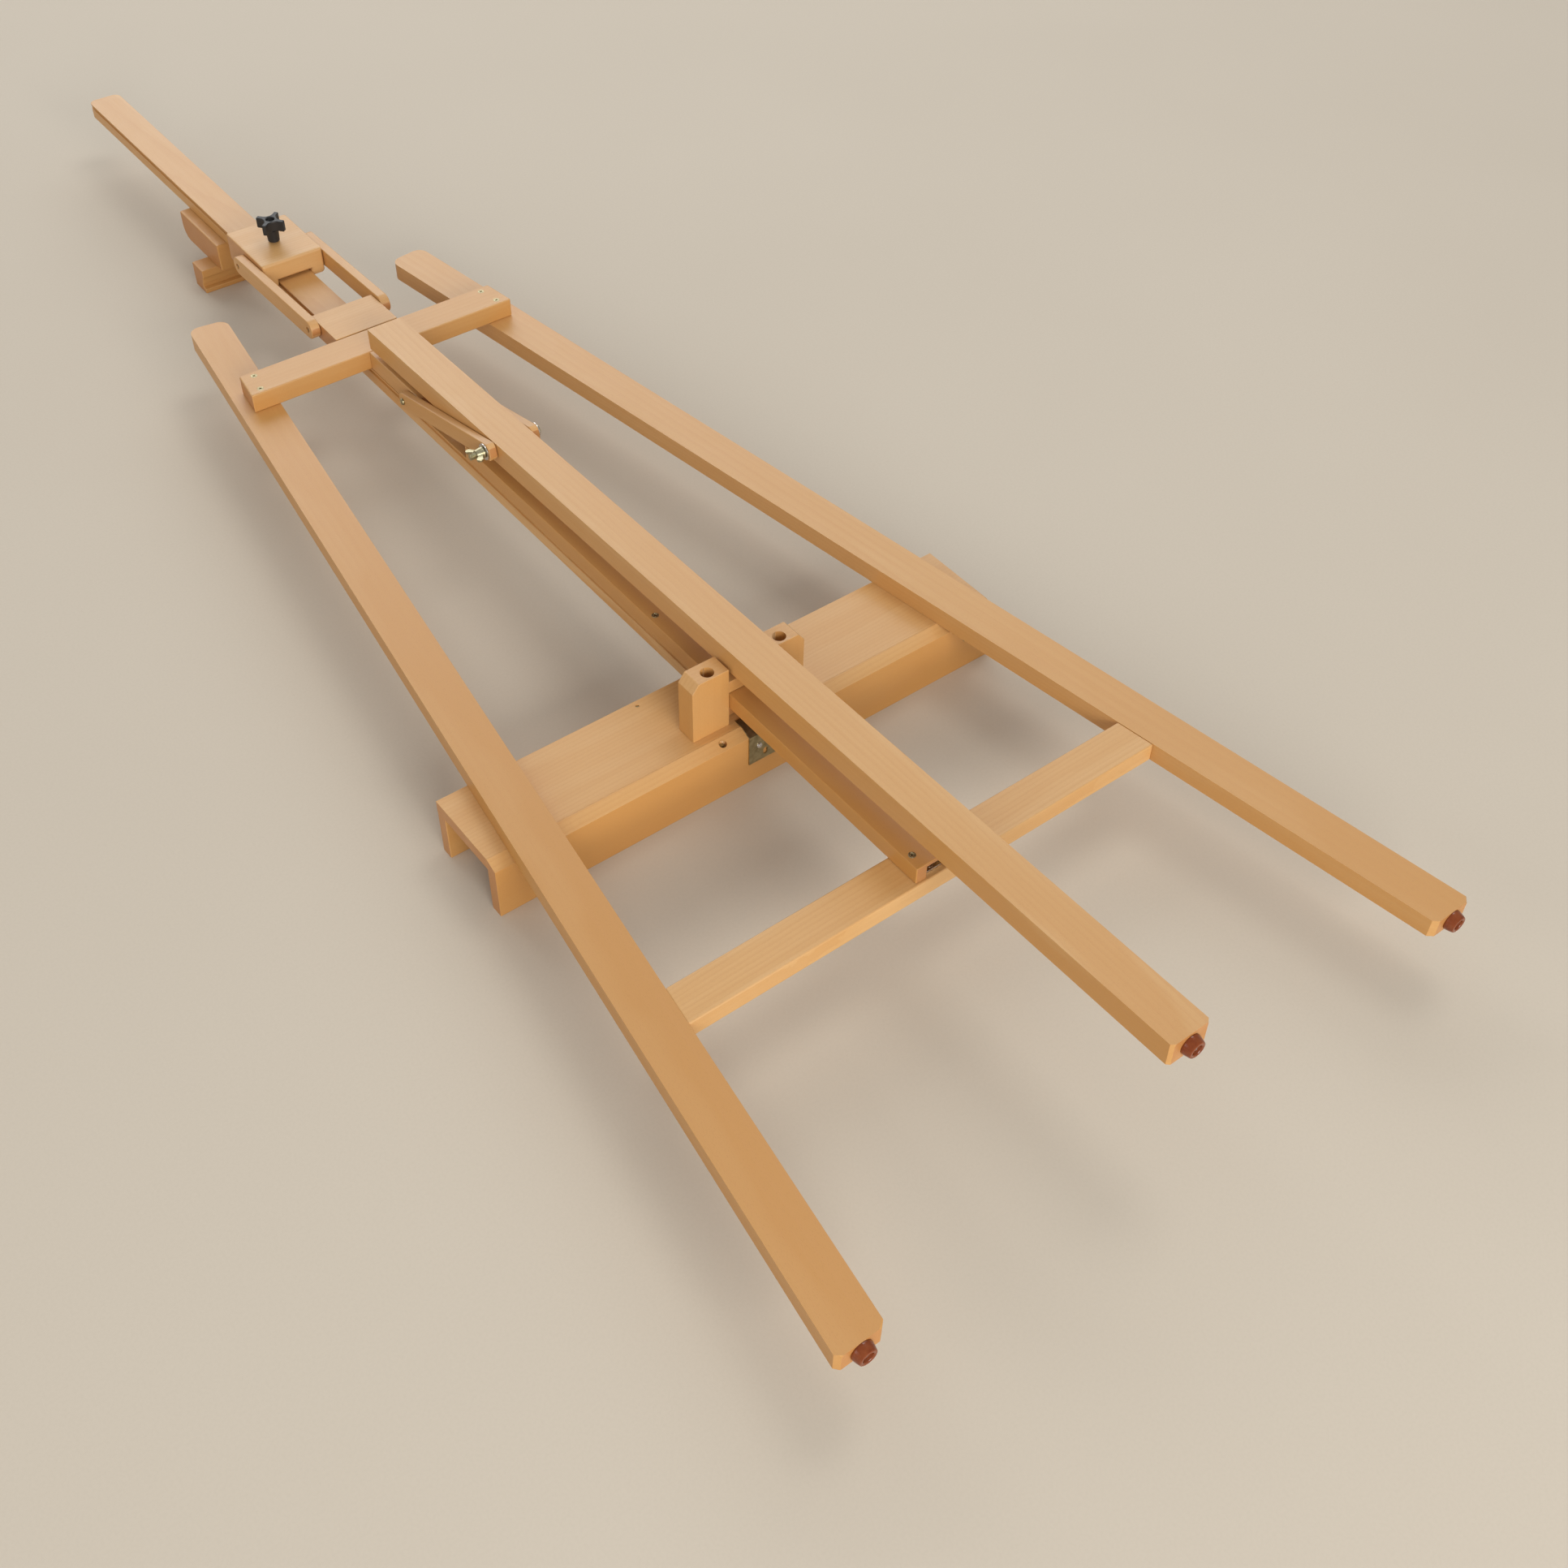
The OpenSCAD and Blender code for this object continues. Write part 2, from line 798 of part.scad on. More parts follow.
// What a rounding of radius r takes off a square edge that runs along +x
module corner_cut(r, len) {
    rotate([90, 0, 90]) linear_extrude(len) difference() {
        translate([-1, -1]) square([r + 1, r + 1]);
        translate([r, r]) circle(r = r);
    }
}

module clamp_bolt() {
    color(steel) stand() translate([0, knob_y, bolt_shaft_z0])
        rod(bolt_shaft_r, bolt_shaft_z1 - bolt_shaft_z0);
}

module pressure_pad() {
    color(steel) stand() translate([0, knob_y, ceiling_z + 0.4]) difference() {
        cylinder(r = pad_r, h = pad_h);
        translate([0, 0, pad_seat]) cylinder(r = bolt_shaft_r + 0.3, h = pad_h);
    }
}

module star_knob() {
    lobes = 4;
    scoop_r = 9.8;
    scoop_at = 16.8;
    head_h = 11.5;
    first = 37;
    neck_low_r = 6.2;
    neck_top_r = 6.8;
    dimple_r = 4.5;
    dimple_d = 3;
    seat = block_top + 1;
    color(black) stand() translate([0, knob_y, 0]) difference() {
        union() {
            translate([0, 0, seat])
                cylinder(r1 = neck_low_r, r2 = neck_top_r, h = knob_z - head_h - seat + 2);
            translate([0, 0, knob_z - head_h]) linear_extrude(head_h) difference() {
                circle(r = knob_r);
                for (i = [0 : lobes - 1]) rotate((i + 0.5) * 360 / lobes + first)
                    translate([scoop_at, 0]) circle(r = scoop_r);
            }
        }
        translate([0, 0, knob_z - dimple_d]) cylinder(r = dimple_r, h = dimple_d + 1);
        translate([0, 0, seat - 1]) cylinder(r = bolt_shaft_r + fit, h = bolt_shaft_z1 - seat + 1);
    }
}

/* Upper canvas clamp */

holder_screw_x = 20;
holder_screw_len = 31;
holder_head_sink = 13;
key_screw_len = 37;

module holder_screw_places() {
    both_sides() translate([holder_screw_x, lip_y0 + lip_d / 2, lip_top - holder_head_sink])
        rotate([180, 0, 0]) children();
}

module key_screw_places() {
    for (y = [carriage_y0 + 20, carriage_y1 - 24])
        translate([0, y, carriage_front]) rotate([180, 0, 0]) children();
}

module holder_carriage() {
    len = carriage_y1 - carriage_y0;
    color(beech_dark) stand() difference() {
        translate([-carriage_w / 2, carriage_y0, carriage_front])
            cube([carriage_w, len, carriage_t]);
        translate([carriage_w / 2 + 1, carriage_y1, carriage_front]) rotate([0, 0, 180])
            corner_cut(carriage_nose - 4, carriage_w + 2);
        holder_screw_places() rod_down(screw_r + fit, holder_screw_len + 1);
        key_screw_places() screw_hole(key_screw_len + 1);
    }
}

module holder_key() {
    len = carriage_y1 - carriage_y0 - 10;
    color(beech) stand() difference() {
        translate([0, carriage_y0 + 5, carriage_back + fit]) {
            translate([-key_neck / 2, 0, 0]) cube([key_neck, len, key_neck_d + 0.4]);
            translate([-key_head / 2, 0, key_neck_d + 0.2])
                cube([key_head, len, key_head_d]);
        }
        key_screw_places() rod_down(screw_r + fit, key_screw_len + 1);
    }
}

module holder_lip_bar() {
    step_d = 5;
    step_h = 7;
    groove_d = 2.5;
    groove_z0 = lip_top - 17;
    groove_z1 = lip_top - 9;
    h = lip_top - floor_z;
    color(beech_dark) stand() difference() {
        translate([-lip_w / 2, 0, 0]) rotate([90, 0, 90]) linear_extrude(lip_w)
            polygon([[lip_y0, floor_z], [lip_y0 + lip_d, floor_z], [lip_y0 + lip_d, lip_top],
                     [lip_y0, lip_top], [lip_y0, groove_z1], [lip_y0 + groove_d, groove_z1 - 2],
                     [lip_y0 + groove_d, groove_z0], [lip_y0 + step_d, groove_z0],
                     [lip_y0 + step_d, floor_z + step_h - 1], [lip_y0, floor_z + step_h - 2]]);
        holder_screw_places() {
            rod_down(screw_r + fit, holder_screw_len + 1);
            cylinder(r = screw_head_r + 0.5, h = h);
        }
    }
}

module holder_screws() {
    color(steel) stand() {
        holder_screw_places() translate([0, 0, -holder_screw_len])
            cylinder(r = screw_r, h = holder_screw_len);
        holder_screw_places() cylinder(r = screw_head_r, h = 2);
        key_screw_places() screw(key_screw_len);
    }
}

/* Tray */

edge_screw_len = 24;
slope_screw_len = 25;
spacer_screw_len = 30;
slope_head_z = -6;
slope_head_r = 3.4;

module tray_rear_board() {
    y0 = tray_y0 + board_t + fit;
    color(beech) stand() difference() {
        translate([-tray_w / 2, y0, tray_back - board_t]) cube([tray_w, tray_y1 - y0, board_t]);
        ear_screw_places() rod_down(screw_r + fit, far);
        bracket_pocket();
        edge_screw_places() rod_down(small_r + fit, edge_screw_len);
    }
}

slope_y = board_t - 1;
slope_z = 5.5;

// How far before the slope's upper end it lies a distance d under the tray's back
function slope_d(d) = board_t - slope_y + d * slope_y / slope_z;

module tray_lower_board() {
    color(beech_dark) stand() difference() {
        translate([-tray_w / 2, 0, 0]) rotate([90, 0, 90]) linear_extrude(tray_w)
            polygon([[tray_y0, floor_z], [tray_y0 + board_t, floor_z],
                     [tray_y0 + board_t, tray_back], [tray_y0 + slope_y, tray_back],
                     [tray_y0, tray_back - slope_z]]);
        spacer_screw_places() screw_hole(spacer_screw_len + 1);
        slope_screw_places() {
            rod_down(small_r + fit, slope_screw_len + 1);
            translate([0, 0, slope_head_z]) cylinder(r = slope_head_r + 0.2, h = 12);
        }
        bracket_screw_place() rod_down(small_r + fit, bracket_screw_len + 0.5);
        bracket_pocket();
    }
}

module tray_upper_board() {
    h = tray_back - board_t - fit - floor_z;
    color(beech_dark) stand() difference() {
        translate([-tray_w / 2, tray_y1 - board_t, floor_z]) cube([tray_w, board_t, h]);
        edge_screw_places() rod_down(small_r + fit, edge_screw_len + 2);
        mirrored_spacer_places() screw_hole(spacer_screw_len + 1);
    }
}

spacer_w = 18;
spacer_x = 230;
spacer_h = 24;

module spacer_screw_places() {
    both_sides() translate([spacer_x, tray_y0, tray_back - board_t - spacer_h / 2])
        rotate([90, 0, 0]) children();
}

module mirrored_spacer_places() {
    both_sides() translate([spacer_x, tray_y1, tray_back - board_t - spacer_h / 2])
        rotate([-90, 0, 0]) children();
}

module tray_spacers() {
    y0 = tray_y0 + board_t + fit;
    len = tray_d - 2 * board_t - 2 * fit;
    color(beech) stand() both_sides() difference() {
        translate([spacer_x - spacer_w / 2, y0, tray_back - board_t - spacer_h - fit])
            cube([spacer_w, len, spacer_h]);
        spacer_screw_places() rod_down(screw_r + fit, spacer_screw_len + 1);
        mirrored_spacer_places() rod_down(screw_r + fit, spacer_screw_len + 1);
    }
}

module edge_screw_places() {
    for (x = [-200, -70, 70, 200])
        translate([x, tray_y1 - board_t / 2, tray_back]) children();
}

module slope_screw_places() {
    both_sides() translate([ear_mid_x, tray_y0 + board_t / 2, tray_back - 3])
        rotate([14, 0, 0]) children();
}

module tray_screws() {
    color(steel) stand() {
        spacer_screw_places() screw(spacer_screw_len);
        mirrored_spacer_places() screw(spacer_screw_len);
        edge_screw_places() {
            translate([0, 0, -edge_screw_len]) cylinder(r = small_r, h = edge_screw_len - 1);
        }
        slope_screw_places() {
            translate([0, 0, -slope_screw_len])
                cylinder(r = small_r, h = slope_screw_len + slope_head_z);
            translate([0, 0, slope_head_z]) cylinder(r = slope_head_r, h = small_r);
        }
    }
}

// Ear block, drawn for the right side, with its outer top edge cut back
module ear() {
    h = ear_z - tray_back - fit;
    cut_x = 6.5;
    cut_z = 8.5;
    difference() {
        translate([ear_x, ear_y0 + ear_d, tray_back + fit]) rotate([90, 0, 0])
            linear_extrude(ear_d) polygon([[0, 0], [ear_w, 0], [ear_w, h - cut_z],
                                           [ear_w - cut_x, h], [0, h]]);
        ear_hole();
        bridge_hole();
    }
}

ear_hole_r = 6;
ear_hole_d = 30;

module ear_hole() {
    translate([ear_mid_x, ear_mid_y, ear_z - ear_hole_d])
        cylinder(r = ear_hole_r, h = ear_hole_d + 1);
    translate([ear_mid_x, ear_mid_y, -far]) cylinder(r = screw_r + fit, h = far + 5);
    translate([ear_mid_x, ear_mid_y, 0]) cylinder(r = screw_r + fit, h = ear_z - ear_hole_d);
}

bridge_pin_r = 2.5;
bridge_pin_reach = 40;

module bridge_hole() {
    translate([0, ear_mid_y, bridge_z + bridge_t / 2]) rotate([0, 90, 0])
        rod(bridge_pin_r + fit, bridge_pin_reach + 6);
}

module tray_ear_right() {
    color(beech) stand() ear();
}

module tray_ear_left() {
    color(beech) stand() mirror([1, 0, 0]) ear();
}

module tray_bridge() {
    color(beech) stand() {
        translate([-ear_x + fit, ear_y0, bridge_z])
            cube([2 * ear_x - 2 * fit, ear_d - 1, bridge_t]);
        both_sides() translate([0, ear_mid_y, bridge_z + bridge_t / 2]) rotate([0, 90, 0])
            rod(bridge_pin_r, bridge_pin_reach);
    }
}

ear_screw_len = 42;
ear_screw_head_h = 2.4;

module ear_screw_places() {
    both_sides() translate([ear_mid_x, ear_mid_y, ear_z - ear_hole_d]) children();
}

module ear_screws() {
    color(steel) stand() ear_screw_places() {
        translate([0, 0, -ear_screw_len]) cylinder(r = screw_r, h = ear_screw_len);
        difference() {
            cylinder(r = screw_head_r, h = ear_screw_head_h);
            translate([0, 0, ear_screw_head_h]) cross_slot();
        }
    }
}

bracket_w = 29;
bracket_t = 1.2;
bracket_low = 31;
bracket_far = 7;
bracket_sink = 0.6;
bracket_screw = [-4, -36.5];
bracket_screw_len = 8.5;
bracket_head_r = 3.2;
bracket_head_h = 1.6;
bracket_slot = [2.5, -48];
bracket_slot_r = 2.2;

module bracket_screw_place() {
    translate([bracket_screw[0], tray_y0, bracket_screw[1]]) rotate([90, 0, 0]) children();
}

// Where the bracket's upper leaf is let into the tray boards
module bracket_pocket() {
    y0 = tray_y0 + board_t - slope_d(bracket_sink) - 1;
    translate([-bracket_w / 2 - fit, y0, tray_back - bracket_sink])
        cube([bracket_w + 2 * fit, tray_y0 + board_t + bracket_far - y0 + fit, far]);
}

// Steel strip over the tray's lower edge: down its front, up its slope and over its back
module guide_bracket() {
    low = tray_back - bracket_low - slope_z;
    foot = tray_back - slope_z + fit;
    bend_y = tray_y0 + board_t - slope_d(bracket_sink);
    top = tray_back - bracket_sink + fit;
    end_y = tray_y0 + board_t + bracket_far;
    t = bracket_t;
    color(steel) stand() difference() {
        translate([-bracket_w / 2, 0, 0]) rotate([90, 0, 90]) linear_extrude(bracket_w)
            polygon([[tray_y0 - fit, low], [tray_y0 - fit, foot], [bend_y, top], [end_y, top],
                     [end_y, top + t], [bend_y - t / 3, top + t],
                     [tray_y0 - fit - t, foot + t * 0.62], [tray_y0 - fit - t, low]]);
        bracket_screw_place() translate([0, 0, -1]) cylinder(r = small_r + fit, h = 5);
        for (dz = [0, 3]) translate([bracket_slot[0], tray_y0, bracket_slot[1] + dz])
            rotate([90, 0, 0]) cylinder(r = bracket_slot_r, h = 3);
    }
}

module bracket_screws() {
    seat = bracket_t + 2 * fit;
    color(steel) stand() bracket_screw_place() {
        translate([0, 0, -bracket_screw_len]) cylinder(r = small_r, h = bracket_screw_len + seat);
        translate([0, 0, seat]) difference() {
            cylinder(r1 = bracket_head_r, r2 = bracket_slot_r, h = bracket_head_h);
            translate([0, 0, bracket_head_h]) cross_slot();
        }
    }
}

leg_left();
leg_right();
lower_rung();
rung_dowels();
upper_crossbar();
crossbar_screws();
spine_dowels();
tongue_block();
hinge_plate();
foot_left();
foot_right();
foot_nails();
link_left();
link_right();
link_screws();
pivot_bolt();
bolt_washers();
wing_nut();
rear_leg();
rear_foot();
rear_foot_nail();
rung_hinge();
hinge_pin();
hinge_screws();
guide_channel();
guide_screws();
mast_plank();
mast_runner();
runner_screws();
arm_left();
arm_right();
arm_screws();
clamp_block();
block_screws();
clamp_bolt();
pressure_pad();
star_knob();
holder_carriage();
holder_key();
holder_lip_bar();
holder_screws();
tray_rear_board();
tray_lower_board();
tray_upper_board();
tray_spacers();
tray_ear_left();
tray_ear_right();
tray_bridge();
ear_screws();
tray_screws();
guide_bracket();
bracket_screws();
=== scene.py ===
"""Looks of a folded wooden studio easel: oiled beech, small metal fittings, plastic feet, knob."""

import json
import math
import random

import bmesh
import bpy
from mathutils import Matrix, Quaternion, Vector


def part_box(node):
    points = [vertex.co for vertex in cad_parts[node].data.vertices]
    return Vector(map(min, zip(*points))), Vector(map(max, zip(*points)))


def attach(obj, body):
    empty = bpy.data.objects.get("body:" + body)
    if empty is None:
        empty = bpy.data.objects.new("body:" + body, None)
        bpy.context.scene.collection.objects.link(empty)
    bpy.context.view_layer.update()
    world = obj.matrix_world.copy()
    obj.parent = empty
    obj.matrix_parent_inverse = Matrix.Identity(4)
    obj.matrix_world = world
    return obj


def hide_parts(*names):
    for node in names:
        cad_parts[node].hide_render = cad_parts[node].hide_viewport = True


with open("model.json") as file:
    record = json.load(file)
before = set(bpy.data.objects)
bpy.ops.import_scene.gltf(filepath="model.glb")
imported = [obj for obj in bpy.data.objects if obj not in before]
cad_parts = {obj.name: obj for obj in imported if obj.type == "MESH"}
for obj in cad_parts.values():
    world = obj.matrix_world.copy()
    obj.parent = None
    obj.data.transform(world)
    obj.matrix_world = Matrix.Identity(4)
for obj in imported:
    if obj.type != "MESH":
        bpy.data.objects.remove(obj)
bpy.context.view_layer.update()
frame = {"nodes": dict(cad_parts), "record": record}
BODIES = frame["record"]["behaviour"]["bodies"]
BODY_OF = {node: body for body, members in BODIES.items() for node in members}
MM = 0.001
X_AXIS, Y_AXIS, Z_AXIS = Vector((1, 0, 0)), Vector((0, 1, 0)), Vector((0, 0, 1))

# Camera for a square picture: place and aim in metres, roll in degrees, lens and sensor in mm
EYE = Vector((-0.6804, -1.2869, 1.1642))
TARGET = Vector((-0.0365, -0.4882, 0.0770))
ROLL = 1.6513
LENS = 42.857
SENSOR = 36.0
FARTHEST = 60.0

# Lights: centre, aimed-at point, width, height, power, colour
LIGHTS = {
    "key_light": ((1.7, 0.1, 3.9), (0.0, 0.0, 0.1), 1.5, 1.5, 24.0, (1.0, 0.985, 0.96)),
    "window": ((1.2, 4.4, 2.5), (0.0, 0.5, 0.1), 5.4, 3.2, 132.0, (0.97, 0.985, 1.0)),
    "front_light": ((-0.9, -4.2, 1.6), (0.0, 0.0, 0.1), 3.0, 1.8, 152.0, (1.0, 0.98, 0.95)),
    "right_light": ((3.9, 1.9, 3.0), (0.0, 0.0, 0.1), 2.6, 2.2, 26.0, (0.95, 0.975, 1.0)),
    "side_light": ((-3.6, 0.2, 1.5), (0.0, 0.0, 0.1), 2.4, 1.6, 22.0, (1.0, 0.98, 0.95)),
}
WORLD_COLOUR = (1.0, 0.985, 0.965)
WORLD_STRENGTH = 0.32
FLOOR_HALF = 9.0
FLOOR_CELLS = 8


# ---------------------------------------------------------------- materials


class Tree:
    """A material in the making: add() makes a node, with its inputs linked or set."""

    def __init__(self, name):
        self.material = bpy.data.materials.new(name)
        self.material.use_nodes = True
        self.nodes = self.material.node_tree.nodes
        self.links = self.material.node_tree.links
        self.shader = self.nodes["Principled BSDF"]

    def feed(self, node, inputs):
        for key, value in inputs.items():
            if isinstance(value, bpy.types.NodeSocket):
                self.links.new(value, node.inputs[key])
            else:
                node.inputs[key].default_value = value

    def add(self, kind, inputs, output=0, **settings):
        node = self.nodes.new("ShaderNode" + kind)
        for key, value in settings.items():
            setattr(node, key, value)
        self.feed(node, inputs)
        return node.outputs[output]

    def attribute(self, name, output):
        return self.add("Attribute", {}, output, attribute_name=name)

    def place(self):
        return self.add("TexCoord", {}, "Object")

    def stretch(self, vector, scale):
        return self.add("Mapping", {"Vector": vector, "Scale": scale})

    def noise(self, vector, scale, detail=2.0, roughness=0.5):
        inputs = {"Vector": vector, "Scale": scale, "Detail": detail, "Roughness": roughness}
        return self.add("TexNoise", inputs, "Fac")

    def streaks(self, vector, scale, detail=2.0, roughness=0.5):
        """Noise with its own number of cells per metre along each axis."""
        return self.noise(self.stretch(vector, scale), 1.0, detail, roughness)

    def span(self, value, low, high, to_low=0.0, to_high=1.0):
        inputs = {0: value, 1: low, 2: high, 3: to_low, 4: to_high}
        return self.add("MapRange", inputs)

    def math(self, operation, a, b):
        return self.add("Math", {0: a, 1: b}, operation=operation)

    def mix(self, factor, a, b):
        return self.add("MixRGB", {0: factor, 1: a, 2: b}, blend_type="MIX")

    def bump(self, height, strength, distance):
        inputs = {"Height": height, "Strength": strength, "Distance": distance}
        return self.add("Bump", inputs)

    def finish(self, **inputs):
        self.feed(self.shader, {key.replace("_", " "): value for key, value in inputs.items()})
        return self.material


def colour(r, g, b):
    return (r, g, b, 1.0)


# Detail of the wood, in cells per metre across the grain (x and y) and along it (z)
DRIFT_CELLS = (7.0, 7.0, 1.3)
CLOUD_CELLS = (22.0, 22.0, 3.0)
STREAK_CELLS = (190.0, 190.0, 3.2)
FIBRE_CELLS = (1500.0, 1500.0, 26.0)
FLECK_CELLS = (1500.0, 1500.0, 290.0)
RINGS = {"Scale": 78.0, "Distortion": 0.7, "Detail": 2.0, "Detail Scale": 1.2}
BANDS = {"Scale": 8.0, "Distortion": 3.5, "Detail": 2.0, "Detail Scale": 0.8}
DRIFT_SIZE = 0.022

# Colours over the board's own, and how far each is mixed in
BAND_COLOUR = colour(0.72, 0.47, 0.22)
FLECK_COLOUR = colour(0.30, 0.12, 0.035)
END_COLOUR = colour(0.42, 0.15, 0.045)
RING_MIX, STREAK_MIX, CLOUD_MIX, FIBRE_MIX, FLECK_MIX, END_MIX = 0.30, 0.22, 0.20, 0.16, 0.16, 0.55
# how far the painted shade towards the ends of a board is mixed in
SHADE_RAMP_MIX = 0.5


def wood(name, light, deep, ring_colour):
    """Oiled beech. Attribute grain holds each point's place in its board, z along the grain."""
    t = Tree(name)
    grain = t.attribute("grain", "Vector")
    tone = t.attribute("tone", "Fac")
    end = t.attribute("end", "Fac")
    drift = t.streaks(grain, DRIFT_CELLS, 3.0)
    sideways = t.add("CombineXYZ", {0: drift, 1: drift})
    shift = t.add("VectorMath", {0: sideways, 3: DRIFT_SIZE}, operation="SCALE")
    bent = t.add("VectorMath", {0: grain, 1: shift}, operation="ADD")
    rings = t.add(
        "TexWave", {"Vector": bent} | RINGS, "Fac",
        wave_type="RINGS", rings_direction="Z", wave_profile="SAW",
    )
    ring_line = t.span(rings, 0.45, 1.0)
    fibre = t.streaks(grain, FIBRE_CELLS, 3.0, 0.6)
    streak = t.streaks(grain, STREAK_CELLS)
    cloud = t.streaks(grain, CLOUD_CELLS)
    cell_inputs = {"Vector": t.stretch(bent, FLECK_CELLS), "Scale": 1.0, "Randomness": 1.0}
    cells = t.add("TexVoronoi", cell_inputs, "Distance", feature="F1")
    fleck = t.span(cells, 0.30, 0.12)
    bands = t.add(
        "TexWave", {"Vector": bent} | BANDS, "Fac", wave_type="RINGS", rings_direction="Z"
    )
    pale = t.math("MULTIPLY", t.span(bands, 0.55, 0.95), t.attribute("figure", "Fac"))
    # painted shade: the deep colour is mixed in on upright faces and towards the ends of a board,
    # through its tone and the ramp along its length, standing in for light that falls off there
    shade_ramp = t.span(t.attribute("shade_ramp", "Fac"), 0.0, 1.0, 0.0, SHADE_RAMP_MIX)
    face = t.mix(t.math("ADD", tone, shade_ramp), light, deep)
    face = t.mix(pale, face, BAND_COLOUR)
    face = t.mix(t.math("MULTIPLY", ring_line, RING_MIX), face, ring_colour)
    face = t.mix(t.span(streak, 0.3, 0.7, 0.0, STREAK_MIX), face, deep)
    face = t.mix(t.span(cloud, 0.35, 0.7, 0.0, CLOUD_MIX), face, ring_colour)
    face = t.mix(t.span(fibre, 0.25, 0.75, 0.0, FIBRE_MIX), face, deep)
    face = t.mix(t.math("MULTIPLY", fleck, FLECK_MIX), face, FLECK_COLOUR)
    face = t.mix(t.math("MULTIPLY", end, END_MIX), face, END_COLOUR)
    height = t.math("SUBTRACT", t.math("MULTIPLY", fibre, 0.6), fleck)
    return t.finish(
        Base_Color=face,
        Roughness=t.span(fibre, 0.2, 0.8, 0.36, 0.50),
        Specular_IOR_Level=0.7,
        Normal=t.bump(height, 0.22, 0.00012),
    )


SCRATCH_CELLS = (900.0, 5200.0, 900.0)
STAIN_CELLS = (260.0, 260.0, 260.0)


def metal(name, base, rough, dark):
    """Plated or bare steel with fine drawn lines and faint stains."""
    t = Tree(name)
    place = t.place()
    scratch = t.streaks(place, SCRATCH_CELLS, 3.0)
    stain = t.streaks(place, STAIN_CELLS, 4.0)
    return t.finish(
        Base_Color=t.mix(t.span(stain, 0.35, 0.75), base, dark),
        Metallic=1.0,
        Roughness=t.span(scratch, 0.25, 0.75, rough - 0.07, rough + 0.1),
        Normal=t.bump(scratch, 0.12, 0.00005),
    )


def plastic(name, base, worn, rough, pit_cells):
    """Moulded plastic with fine pits and slightly worn patches."""
    t = Tree(name)
    place = t.place()
    pits = t.noise(place, pit_cells, 3.0, 0.65)
    patch = t.noise(place, 190.0, 3.0)
    return t.finish(
        Base_Color=t.mix(t.span(patch, 0.3, 0.8), base, worn),
        Roughness=t.span(pits, 0.3, 0.7, rough - 0.06, rough + 0.08),
        Normal=t.bump(pits, 0.25, 0.00008),
    )


def floor_cover(name):
    """Plain matt pale surface."""
    t = Tree(name)
    place = t.place()
    patch = t.noise(place, 1.6, 3.0)
    speck = t.noise(place, 420.0, 2.0)
    base = t.mix(t.span(patch, 0.3, 0.7), colour(0.605, 0.537, 0.443), colour(0.624, 0.556, 0.461))
    return t.finish(
        Base_Color=t.mix(t.span(speck, 0.4, 0.7, 0.0, 0.2), base, colour(0.555, 0.493, 0.402)),
        Roughness=t.span(speck, 0.3, 0.7, 0.80, 0.90),
        Normal=t.bump(speck, 0.1, 0.0001),
    )


BEECH = wood(
    "oiled_beech",
    colour(0.655, 0.380, 0.146),
    colour(0.545, 0.262, 0.064),
    colour(0.560, 0.268, 0.078),
)
BEECH_DARK = wood(
    "oiled_beech_heart",
    colour(0.610, 0.305, 0.095),
    colour(0.500, 0.210, 0.050),
    colour(0.470, 0.190, 0.048),
)
STEEL = metal("bright_steel", colour(0.78, 0.77, 0.75), 0.26, colour(0.60, 0.58, 0.55))
ZINC = metal("yellow_zinc", colour(0.50, 0.465, 0.31), 0.36, colour(0.36, 0.315, 0.17))
DULL = metal("dull_zinc", colour(0.44, 0.385, 0.23), 0.40, colour(0.27, 0.225, 0.12))
OXIDE = metal("dark_oxide", colour(0.115, 0.085, 0.06), 0.40, colour(0.06, 0.045, 0.035))
BROWN = plastic(
    "brown_plastic", colour(0.175, 0.034, 0.006), colour(0.24, 0.060, 0.016), 0.17, 700.0
)
BLACK = plastic(
    "black_plastic", colour(0.012, 0.012, 0.013), colour(0.020, 0.020, 0.021), 0.48, 2400.0
)


# ---------------------------------------------------------------- wooden pieces

WELD = 2e-6  # metres within which corners of a CAD mesh are one
FLAT = math.radians(0.4)  # faces that differ by less are one face
SHARP = math.radians(32)  # edges that turn by more are rounded
ROUND_SEGMENTS = 3
SHORTEST_ROUNDED = 26 * MM  # bores and other short runs of edges stay sharp
WOOD_CREASE, SCREW_CREASE, TURNED_CREASE = 38.0, 30.0, 34.0  # degrees kept sharp in shading
END_GRAIN = 0.93  # faces this square to the grain are end grain
SLANTED = 0.5  # less square ones, down to this, are worn pale
WORN = 0.4


def put(mesh, name, node, material, crease):
    """Makes a mesh the piece that stands for a CAD node, and rides where that node rides."""
    mesh.polygons.foreach_set("use_smooth", [True] * len(mesh.polygons))
    mesh.set_sharp_from_angle(angle=math.radians(crease))
    mesh.materials.clear()
    mesh.materials.append(material)
    piece = bpy.data.objects.new(name, mesh)
    bpy.context.scene.collection.objects.link(piece)
    weighted = piece.modifiers.new("weighted_normals", "WEIGHTED_NORMAL")
    weighted.keep_sharp = True
    weighted.weight = 90
    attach(piece, BODY_OF[node])
    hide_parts(node)
    return piece


def welded(node):
    """The CAD node's mesh with its doubled corners joined."""
    bm = bmesh.new()
    bm.from_mesh(frame["nodes"][node].data)
    bmesh.ops.remove_doubles(bm, verts=bm.verts, dist=WELD)
    return bm


def solid_of(node):
    """The CAD node's solid, without the lines across its flat faces."""
    bm = welded(node)
    bmesh.ops.dissolve_limit(
        bm, angle_limit=FLAT, verts=bm.verts, edges=bm.edges, delimit=set()
    )
    return bm


def gather(left, neighbours):
    """Takes one thing, and everything that it leads to, out of a set."""
    group = [left.pop()]
    for thing in group:
        for other in neighbours(thing):
            if other in left:
                left.remove(other)
                group.append(other)
    return group


